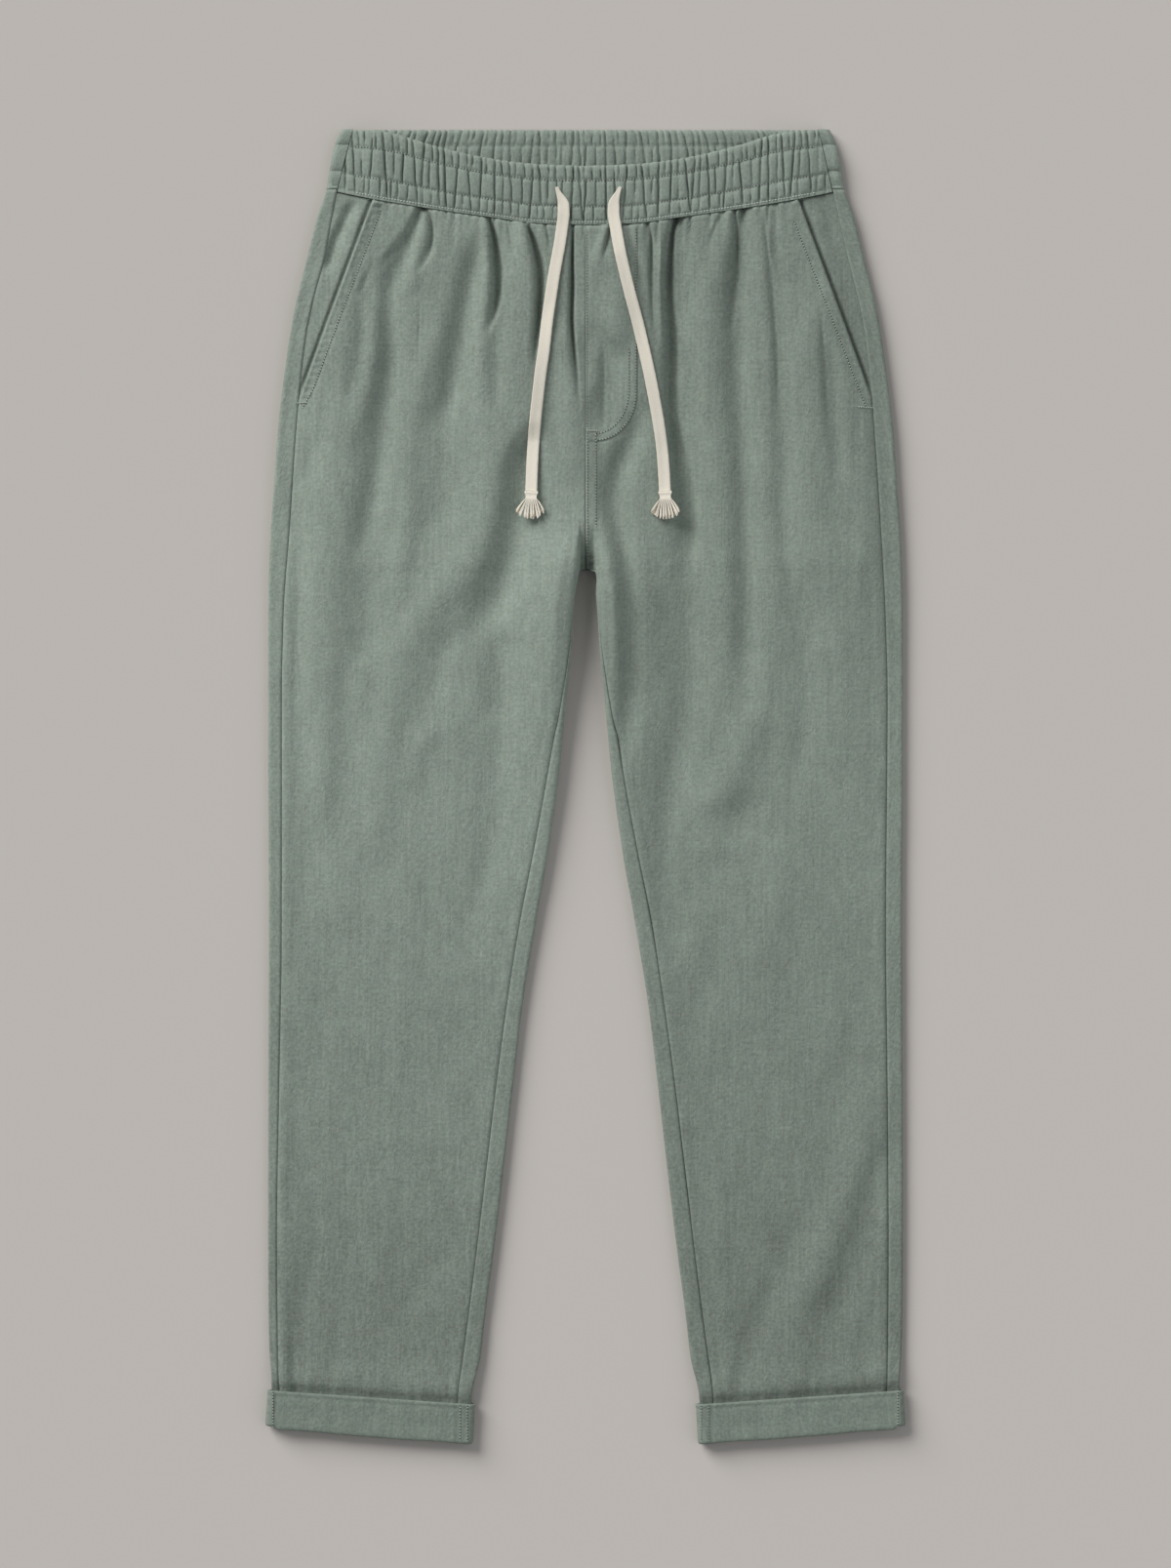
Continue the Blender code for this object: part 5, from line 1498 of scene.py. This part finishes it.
def cuff_rings(side):
    """The cuff's lines run round the leg; from its lip over the hem and back inside."""
    sign = SIDES[side]
    share, inset = (column[None, :] for column in np.array(CUFF_LINES).T)
    skin = np.where(np.arange(len(CUFF_LINES)) < CUFF_OUTER_LINES, 1.0, 0.0)[None, :]
    inner, outer = (top + (hem - top) * share for top, hem in CUFF_SIDES)
    inner, outer = inner + inset, outer - inset
    low, high = inset, CUFF_EDGE - inset
    radius = (high - low) / 2
    left, right = inner + radius, outer - radius
    t = np.linspace(0, 1, 30, endpoint=False)[:, None]
    bend = np.pi * np.linspace(0, 1, 18, endpoint=False)[:, None]
    t_top = np.linspace(0, 1, 90, endpoint=False)[:, None]
    sag = (CUFF_EDGE - CUFF_MIDDLE) * smooth(np.minimum(t_top, 1 - t_top), 0, 0.25)
    out, turned = radius * np.sin(bend), radius * (1 - np.cos(bend))
    across = np.concatenate([
        left + (right - left) * t, right + out, right + (left - right) * t_top, left - out,
    ])
    height = np.concatenate([low + 0 * t, low + turned, high - sag, high - turned])
    along = run_of(across, height, 0)
    top, hem = hem_edge(across, "cuff_top"), hem_edge(across, "hem")
    down = top + (hem - top) * share
    down = down + 0.7 * rumple(across, across * 0, 24.0, 17) * smooth(share, 0.5, 1)
    down = down - 2.2 * smooth(across, 236.5, 239) * smooth(share, 0.4, 1)
    upper = smooth(height, 6.5, 9.5) * skin
    wave = 0.35 * rumple(across, down, 16.0, 9) + 0.22 * rumple(across, down * 0.7, 7.5, 10)
    wave += 0.30 * bump(share - 0.03, 0.05) * rumple(across, down * 0, 11.0, 12)
    for seam in CUFF_SEAMS[side]:
        wave = wave - 0.7 * bump(sign * across - seam, 0.9) + 0.3 * bump(sign * across - seam - sign * 3, 2.5)
    height = height + wave * upper
    threads = np.stack([along * MM, down * MM + 1.3], axis=-1)
    return np.swapaxes(place(sign * across, down, height), 0, 1), np.swapaxes(threads, 0, 1)


cuffs = {}
for side in SIDES:
    rings, threads = cuff_rings(side)
    cuffs[side] = tube(f"cloth_cuff_{side}", rings, threads, SAGE_CUFF, closed=True)
print("cuff corners", len(cuffs["left"].data.vertices))

# %% [markdown]
# ## The mock fly
# A J-shaped piece is sewn flat beside the centre seam and follows every fold of the front below.

# %% Mock fly
FLY_START, FLY_WIDTH, FLY_TIP, FLY_CURVE, FLY_END = 1.2, 40.0, 9.0, 203.0, 240.0


def fly_width(row):
    """The fly is straight down to its curve, and ends in a tip beside the centre seam."""
    t = np.clip((row - FLY_CURVE) / (FLY_END - FLY_CURVE), 0, 1)
    return FLY_TIP + (FLY_WIDTH - FLY_TIP) * np.sqrt(1 - t * t)


curved = FLY_CURVE + (FLY_END - FLY_CURVE) * np.sin(np.linspace(0, np.pi / 2, 26))
row = np.concatenate([np.arange(75.6, FLY_CURVE, 1.7), curved])[:, None]
width = fly_width(row)
across = FLY_START + (width - FLY_START) * np.linspace(0, 1, 34)
down = row_down(row, across, True)
height = front_heights("left", row, across, down, across * 0, across, across * 0 + 60)
border = np.minimum(np.minimum(across - FLY_START, width - across), FLY_END + 0.5 - row)
height = height + 0.5 - 0.44 * bump(border, 1.1)
threads = np.stack([across * MM + 0.31, down * MM + 0.7], axis=-1)
fly = panel("cloth_fly", place(across, down, height), threads, False, 0.3, SAGE)
print("fly", height.shape)

# %% [markdown]
# ## Feeling the cloth
# Drawstrings and stitches lie on the cloth, so their height is felt from above on the finished
# pieces, as a finger would.

# %% Surfaces
bpy.context.view_layer.update()
graph = bpy.context.evaluated_depsgraph_get()
LAID = [
    BVHTree.FromObject(piece, graph)
    for piece in [*fronts.values(), *backs.values(), *facings.values(), *cuffs.values(), fly,
                  band_front]
]


def touch(across, down):
    """Height of the highest cloth at a place, in millimetres, and the way it faces."""
    best, facing = 0.0, Vector((0, 0, 1))
    for tree in LAID:
        start = Vector((across * MM, (LENGTH / 2 - down) * MM, 0.06))
        spot, normal, _, _ = tree.ray_cast(start, Vector((0, 0, -1)))
        if spot is not None and spot.z / MM > best:
            best, facing = spot.z / MM, normal
    return best, facing


def top_of(across, down, around):
    """Height of the highest cloth at a place and close around it."""
    steps = (-around, 0, around)
    return max(touch(across + dx, down + dy)[0] for dx in steps for dy in steps)


print("cloth at the centre of the hips", round(touch(0.5, 200)[0], 2))

# %% [markdown]
# ## The drawstring
# Two flat ivory tapes come out of buttonholes in the band, folded narrow, open to their full
# width and lie down over the front to their bound ends.

# %% The tapes' way over the cloth
TAPE_THICK, TAPE_WIDE = 1.4, 9.8
TAPE_CLEAR = 0.3        # between the tape and the cloth under it
TapePoint = namedtuple("TapePoint", "down right left width")
TAPE_POINTS = (
    TapePoint(45.4, -22.1, 26.6, 2.6), TapePoint(49.9, -20.6, 24.8, 4.4),
    TapePoint(54.4, -18.4, 22.9, 7.0), TapePoint(58.6, -16.9, 21.7, 9.4),
    TapePoint(65.0, -16.7, 21.5, 9.8), TapePoint(73.9, -17.6, 22.7, 9.8),
    TapePoint(87.4, -19.5, 25.0, 9.8), TapePoint(98.6, -21.5, 27.2, 9.8),
    TapePoint(109.9, -23.6, 29.8, 9.8), TapePoint(128.6, -26.5, 34.4, 9.8),
    TapePoint(147.4, -29.2, 39.5, 9.8), TapePoint(171.4, -32.0, 45.2, 9.8),
    TapePoint(188.6, -34.5, 49.0, 9.8), TapePoint(206.6, -36.6, 52.5, 9.8),
    TapePoint(223.9, -38.4, 55.6, 9.8), TapePoint(241.1, -39.8, 58.1, 9.8),
    TapePoint(259.9, -40.9, 59.8, 9.8), TapePoint(278.0, -41.5, 60.8, 9.8),
)
TAPE_RINGS = 150
# The tape's cross-section, in shares of its width and thickness, with a thick border on each side
TAPE_OUTLINE = np.array([
    (-0.5, 0.0), (-0.49, 0.25), (-0.46, 0.42), (-0.40, 0.5), (-0.2, 0.46), (0.0, 0.44), (0.2, 0.46),
    (0.40, 0.5), (0.46, 0.42), (0.49, 0.25), (0.5, 0.0), (0.49, -0.25), (0.46, -0.42), (0.40, -0.5),
    (0.0, -0.5), (-0.40, -0.5), (-0.46, -0.42), (-0.49, -0.25),
])
COLLAR_WIDTH, COLLAR_THICK, COLLAR_LENGTH = 9.4, 2.6, 6.2


print("points of a tape", len(TAPE_POINTS))

# %% Laying a tape
def end_level(side):
    """The height at which the frayed end clears all the cloth under it."""
    across, down = getattr(TAPE_POINTS[-1], side), TAPE_POINTS[-1].down + COLLAR_LENGTH
    return TAPE_CLEAR + max(top_of(across + dx, down + dy, 3)
                            for dx in (-9, -4, 0, 4, 9) for dy in (-3, 3, 9, 14))


def distances(line):
    """How far along a line of places each of them is."""
    return np.concatenate([[0], np.cumsum(np.hypot(*np.diff(line, axis=0).T))])


def lay_tape(side):
    """The tape's middle on the cloth, and how far it leans with the cloth under it."""
    laid = []
    for across, down in [(getattr(point, side), point.down) for point in TAPE_POINTS]:
        under = [(dx, max(touch(across + dx, down + dy)[0] for dy in (-2, 0, 2)))
                 for dx in (-4.4, -2.2, 0, 2.2, 4.4)]
        lean = float(np.clip(0.7 * np.polyfit(*zip(*under), 1)[0], -0.3, 0.3))
        top = max(height - lean * dx for dx, height in under)
        laid.append((across, down, top + TAPE_CLEAR + TAPE_THICK / 2, lean))
    laid = np.array(laid)
    laid[:-1, 2] = 0.4 * np.maximum(laid[:-1, 2], laid[1:, 2]) + 0.6 * laid[:-1, 2]
    near_end = smooth(np.hypot(*(laid[:, :2] - laid[-1, :2]).T), 40, 5)
    laid[:, 2] += (end_level(side) + COLLAR_THICK / 2 - laid[-1, 2]) * near_end
    laid[:, 3] *= 1 - near_end
    return laid


print("height at which an end lies", {side: round(end_level(side), 2) for side in SIDES})

# %% Drawstrings
def draw_tape(side):
    """The tape as a flat tube along its middle, and that middle in millimetres."""
    middles = lay_tape(side)
    stops = distances(middles[:, :2])
    at = np.linspace(0, stops[-1], TAPE_RINGS)
    line = np.stack([curve(stops, middles[:, k], at) for k in range(3)], axis=1)
    lean = curve(stops, middles[:, 3], at)
    width = curve(stops, [point.width for point in TAPE_POINTS], at)
    run = np.gradient(line, axis=0)
    run /= np.linalg.norm(run, axis=1)[:, None]
    sideways = np.stack([-run[:, 1], run[:, 0], -lean * run[:, 1]], axis=1)
    sideways /= np.linalg.norm(sideways, axis=1)[:, None]
    upwards = np.cross(run, sideways)
    upwards *= np.sign(upwards[:, 2:])
    share, thick = TAPE_OUTLINE[:, 0], TAPE_OUTLINE[:, 1]
    folded = (TAPE_WIDE - width) / (TAPE_WIDE - TAPE_POINTS[0].width)
    thickness = TAPE_THICK * (1 + 0.5 * folded)
    wavy = 0.93 * width * (1 + 0.012 * np.sin(at * 0.9) + 0.01 * np.sin(at * 2.3 + 1))
    rings = (
        line[:, None, :]
        + sideways[:, None, :] * (share[None, :] * wavy[:, None])[:, :, None]
        + upwards[:, None, :] * (thick[None, :] * thickness[:, None])[:, :, None]
    )
    threads = np.stack(np.broadcast_arrays(share * TAPE_WIDE * MM, at[:, None] * MM), axis=-1)
    return tube(f"tape_{side}", place(*np.moveaxis(rings, 2, 0)), threads, TAPE_COTTON), line


tapes, tape_lines = {}, {}
for side in SIDES:
    tapes[side], tape_lines[side] = draw_tape(side)
    print("tape", side, "highest", round(float(tape_lines[side][:, 2].max()), 2))

# %% [markdown]
# ## The frayed ends
# Each tape ends in a bound collar, and its threads fan out below it in loose locks.

# %% Collars and threads
THREADS_ACROSS, THREADS_DEEP, LOCKS = 18, 6, 9
THREAD_LENGTH = 13.6
THREAD_FAN = 1.5        # how much wider the ends fan out than the collar is
THREAD_STEPS = (0.12, 0.28, 0.46, 0.64, 0.82, 0.94, 1.0)    # shares of a thread's length


def bound_collar():
    """A block whose lower end is divided into one small cell for each thread."""
    work = bmesh.new()
    bmesh.ops.create_grid(work, x_segments=THREADS_ACROSS, y_segments=THREADS_DEEP, size=1,
                          matrix=Matrix.Rotation(math.pi / 2, 4, "X"))
    bmesh.ops.scale(work, vec=(COLLAR_WIDTH / 2, 1, COLLAR_THICK / 2), verts=work.verts[:])
    far = bmesh.ops.extrude_face_region(work, geom=work.faces[:], use_keep_orig=True)["geom"]
    bmesh.ops.translate(work, vec=(0, COLLAR_LENGTH, 0),
                        verts=[item for item in far if isinstance(item, bmesh.types.BMVert)])
    bmesh.ops.recalc_face_normals(work, faces=work.faces[:])
    roots = [face for face in work.faces if all(abs(corner.co.y) < 1e-6 for corner in face.verts)]
    sides = [edge for edge in work.edges
             if abs(edge.verts[0].co.y - edge.verts[1].co.y) > COLLAR_LENGTH / 2]
    bmesh.ops.inset_individual(work, faces=roots, thickness=0.07)
    bmesh.ops.subdivide_edges(work, edges=sides, cuts=5, use_grid_fill=False)
    for corner in work.verts:
        if 0.05 < corner.co.y < COLLAR_LENGTH + 0.01:
            share = corner.co.y / COLLAR_LENGTH
            swell = 1 + 0.12 * bump(share - 0.85, 0.15) - 0.12 * bump(share - 0.3, 0.3)
            rise = 1 + 0.30 * bump(share - 0.82, 0.16) - 0.12 * bump(share - 0.45, 0.2)
            corner.co.x *= float(swell)
            corner.co.z *= float(rise)
    return work, roots


def draw_out(work, roots, chance):
    """Draws each cell out into a thread; the threads of a lock stay together as they fan apart."""
    threads = []
    for face in roots:
        root = face.calc_center_median()
        lock = math.floor((root.x / COLLAR_WIDTH + 0.5) * LOCKS)
        length = 1 + 0.13 * float(chance.random() * 2 - 1)
        threads.append((root, lock, length, float(chance.random() * 2 - 1)))
    lock_turn = chance.random(LOCKS) * 2 - 1
    for share in THREAD_STEPS:
        drawn = bmesh.ops.extrude_discrete_faces(work, faces=roots)["faces"]
        for face, (root, lock, length, stray) in zip(drawn, threads):
            middle = face.calc_center_median()
            centre = ((lock + 0.5) / LOCKS - 0.5) * COLLAR_WIDTH
            turned = float(lock_turn[lock])
            short = 1 - 0.44 * abs(2 * centre / COLLAR_WIDTH) ** 2.8
            fan = 1 + THREAD_FAN * share ** 0.8
            pinch = 1 + 0.35 * share
            wide = (1 + 0.30 * share) * (1 - 0.40 * float(smooth(share, 0.86, 1.0)))
            x = centre * fan + (root.x - centre) * pinch + 0.8 * turned * share ** 2
            y = -THREAD_LENGTH * share * short * length + 0.25 * stray * share
            z = root.z * (1 + 0.25 * math.sin(math.pi * share)) + 0.3 * turned * share
            for corner in face.verts:
                apart = corner.co - middle
                corner.co = Vector((x + apart.x * wide, y + apart.y, z + apart.z * wide))
        roots = drawn


print("threads in an end", THREADS_ACROSS * THREADS_DEEP)

# %% Tape ends
def frayed_end(side):
    """Collar and threads, set in line with the end of the tape."""
    line = tape_lines[side]
    along = line[-1] - line[-6]
    along[2] = 0
    along /= np.linalg.norm(along)
    sideways = np.array([along[1], -along[0], 0]) * (1 if along[1] > 0 else -1)
    work, roots = bound_collar()
    draw_out(work, roots, np.random.default_rng(21 if side == "left" else 34))
    piece = add_piece(f"threads_{side}", work, FRAY_COTTON)
    mesh = piece.data
    corners = np.empty(len(mesh.vertices) * 3)
    mesh.vertices.foreach_get("co", corners)
    aside, back, up = corners.reshape(-1, 3).T
    origin = line[-1] + along * (TAPE_CLEAR + COLLAR_LENGTH)
    x, y = (origin[k] + sideways[k] * aside - along[k] * back for k in range(2))
    mesh.vertices.foreach_set("co", place(x, y, end_level(side) + up - up.min()).reshape(-1))
    mesh.set_sharp_from_angle(angle=math.radians(65))
    work = bmesh.new()
    work.from_mesh(mesh)
    bmesh.ops.recalc_face_normals(work, faces=work.faces[:])
    work.to_mesh(mesh)
    work.free()
    return piece


tassels = {side: frayed_end(side) for side in SIDES}
print("faces in an end", len(tassels["left"].data.polygons))

# %% [markdown]
# ## Stitches
# Seams are topstitched in thread a little lighter than the cloth. Every stitch is a short capsule
# in its groove, and a small dark disc of painted shade stands for the needle hole between each two.

# %% Sewing
STITCH_PITCH = 2.3      # millimetres from one needle hole to the next


def sample(line, pitch):
    """Points along a line of places at an even spacing."""
    line = np.array(line, float)
    stops = distances(line)
    at = np.linspace(0, stops[-1], max(int(round(stops[-1] / pitch)), 1) + 1)
    return np.stack([np.interp(at, stops, line[:, k]) for k in range(2)], axis=1)


def sew(name, lines, pitch=STITCH_PITCH, thick=0.85, length=0.56, sink=0.20, shade_disc=0.58):
    """Stitches, and dark discs of painted shade in the needle holes, along lines on the cloth, as two pieces.
    """
    made = []
    for kind, material, size, lift in (
        ("stitches", THREAD, (pitch * length / 2, thick / 2, thick * 0.42), sink),
        # the dark discs are painted shade in the needle holes
        ("holes", HOLE_SHADE, (shade_disc, shade_disc * 1.1, 0.30), 0),
    ):
        work = bmesh.new()
        rows = [sample(line, pitch) for line in lines]
        for a, b in [pair for points in rows for pair in zip(points, points[1:])]:
            spot = (a + b) / 2 if kind == "stitches" else a
            height, facing = touch(*spot)
            run = Vector((b[0] - a[0], -(b[1] - a[1]), 0)).normalized()
            facing = (facing - run * facing.dot(run)).normalized()
            run = (run - facing * facing.dot(run)).normalized()
            turn = Matrix((run, facing.cross(run), facing)).transposed().to_4x4()
            where = Matrix.Translation(Vector(place(*spot, height + lift)))
            form = where @ turn @ Matrix.Diagonal((*(Vector(size) * MM), 1))
            bmesh.ops.create_icosphere(work, subdivisions=1, radius=1, matrix=form)
        made.append(add_piece(f"{kind}_{name}", work, material))
    return made


print("stitches in 100 mm", round(100 / STITCH_PITCH))

# %% Rows of stitches
BAND_STITCHED = 176.0       # half the length of the band's rows
BAND_FOOT = 0.958           # the row above the waist seam, as a share of the band's height


def band_line(share):
    """A row of stitches along the front band, by a share of its height."""
    across = np.linspace(-BAND_STITCHED, BAND_STITCHED, 160)
    top, seam = band_edge(across, "top"), band_edge(across, "seam")
    return list(zip(across, top + (seam - top) * share))


def fly_line(top, bend, foot, wide, deep):
    """Straight down beside the fly's edge, then round its curve to the centre."""
    return [(foot + wide, top), (foot + wide, bend)] + [
        (foot + wide * math.cos(turn), bend + deep * math.sin(turn))
        for turn in np.linspace(0.1, math.pi / 2, 14)
    ]


sewn = []
sewn += sew("band_rows", [band_line(share) for share in CHANNEL_ENDS[1]])
sewn += sew("band_seam", [band_line(BAND_FOOT)], thick=1.15, length=0.85, sink=0.5, shade_disc=0.3)
sewn += sew("centre", [[(1.2, 80), (1.2, 231)], [(1.6, 234), (1.6, 330)], [(7.9, 234), (8.0, 306)]])
sewn += sew("fly_outline", [fly_line(78, 203, 7.6, 31.0, 36.2), fly_line(170, 201, 6.4, 27.0, 33.2)])
sewn += sew("bartacks", [
    [(0.4, 232), (9.2, 232)], [(-221.5, 210.6), (-213.5, 210.2)], [(208.0, 213.6), (220.5, 214.0)],
], pitch=1.2, thick=1.6, length=0.8, shade_disc=0.5)
sewn += sew("cuffs", [
    [(across, hem_edge(across, "cuff_top") + 1.5), (across, hem_edge(across, "hem") - 1.5)]
    for across in (-96.0, -90.5, 94.5, 88.8, -239.5, 239.5)
])
sewn += sew("pockets", [
    [(-156.9, 64), (-208.6, 200), (-217.0, 215)], [(159.8, 72), (211.0, 204), (215.6, 215)],
])
print("sewn pieces", len(sewn), "faces", sum(len(piece.data.polygons) for piece in sewn))

# %% [markdown]
# ## What each piece stands for
# Every cloth piece takes the place of its solid, which is hidden, and the stitches join the same body.

# %% Pieces
STANDS_FOR = {
    "sage_cotton": {
        **{fronts[side]: f"front_{side}" for side in SIDES},
        **{backs[side]: f"back_{side}" for side in SIDES},
        **{facings[side]: f"pocket_facing_{side}" for side in SIDES},
        fly: "fly",
    },
    "sage_band": {band_front: "waistband_front", band_back: "waistband_back"},
    "sage_cuff": {cuffs[side]: f"cuff_{side}" for side in SIDES},
    "ivory_cotton": {
        **{tapes[side]: f"drawstring_{side}" for side in SIDES},
        **{tassels[side]: f"tassel_{side}" for side in SIDES},
    },
}
for finish, pairs in STANDS_FOR.items():
    for piece, node in pairs.items():
        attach(piece, ROOT)
        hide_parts(node)
for piece in sewn:
    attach(piece, ROOT)
print("finishes", list(STANDS_FOR))

# %% [markdown]
# ## Cloths and cords
# Each cloth is listed with how large it was cut, flat, and on what it lies, and its size is printed.
# Each drawstring's way is taken as a path of points along its middle.

# %% Cloths
CUTS = {
    **{fronts[side]: ((0.241, 0.930), 0.160, [f"cloth_back_{side}"]) for side in SIDES},
    **{backs[side]: ((0.288, 0.957), 0.222, ["floor"]) for side in SIDES},
    **{facings[side]: ((0.071, 0.174), 0.0050, [f"cloth_back_{side}"]) for side in SIDES},
    fly: ((0.040, 0.165), 0.0062, ["cloth_front_left"]),
    band_front: ((0.366, 0.046), None, ["cloth_waistband_back"]),
    band_back: ((0.432, 0.046), None, ["floor"]),
    **{cuffs[side]: ((0.345, 0.031), None, ["floor"]) for side in SIDES},
}
for piece, (flat, area, below) in CUTS.items():
    print(piece.name, "flat", flat, "cut", area)

# %% Cords
for side in SIDES:
    route = np.concatenate([tape_lines[side][::4], tape_lines[side][-1:]])
    path = [tuple(float(value) for value in point) for point in place(*route.T)]
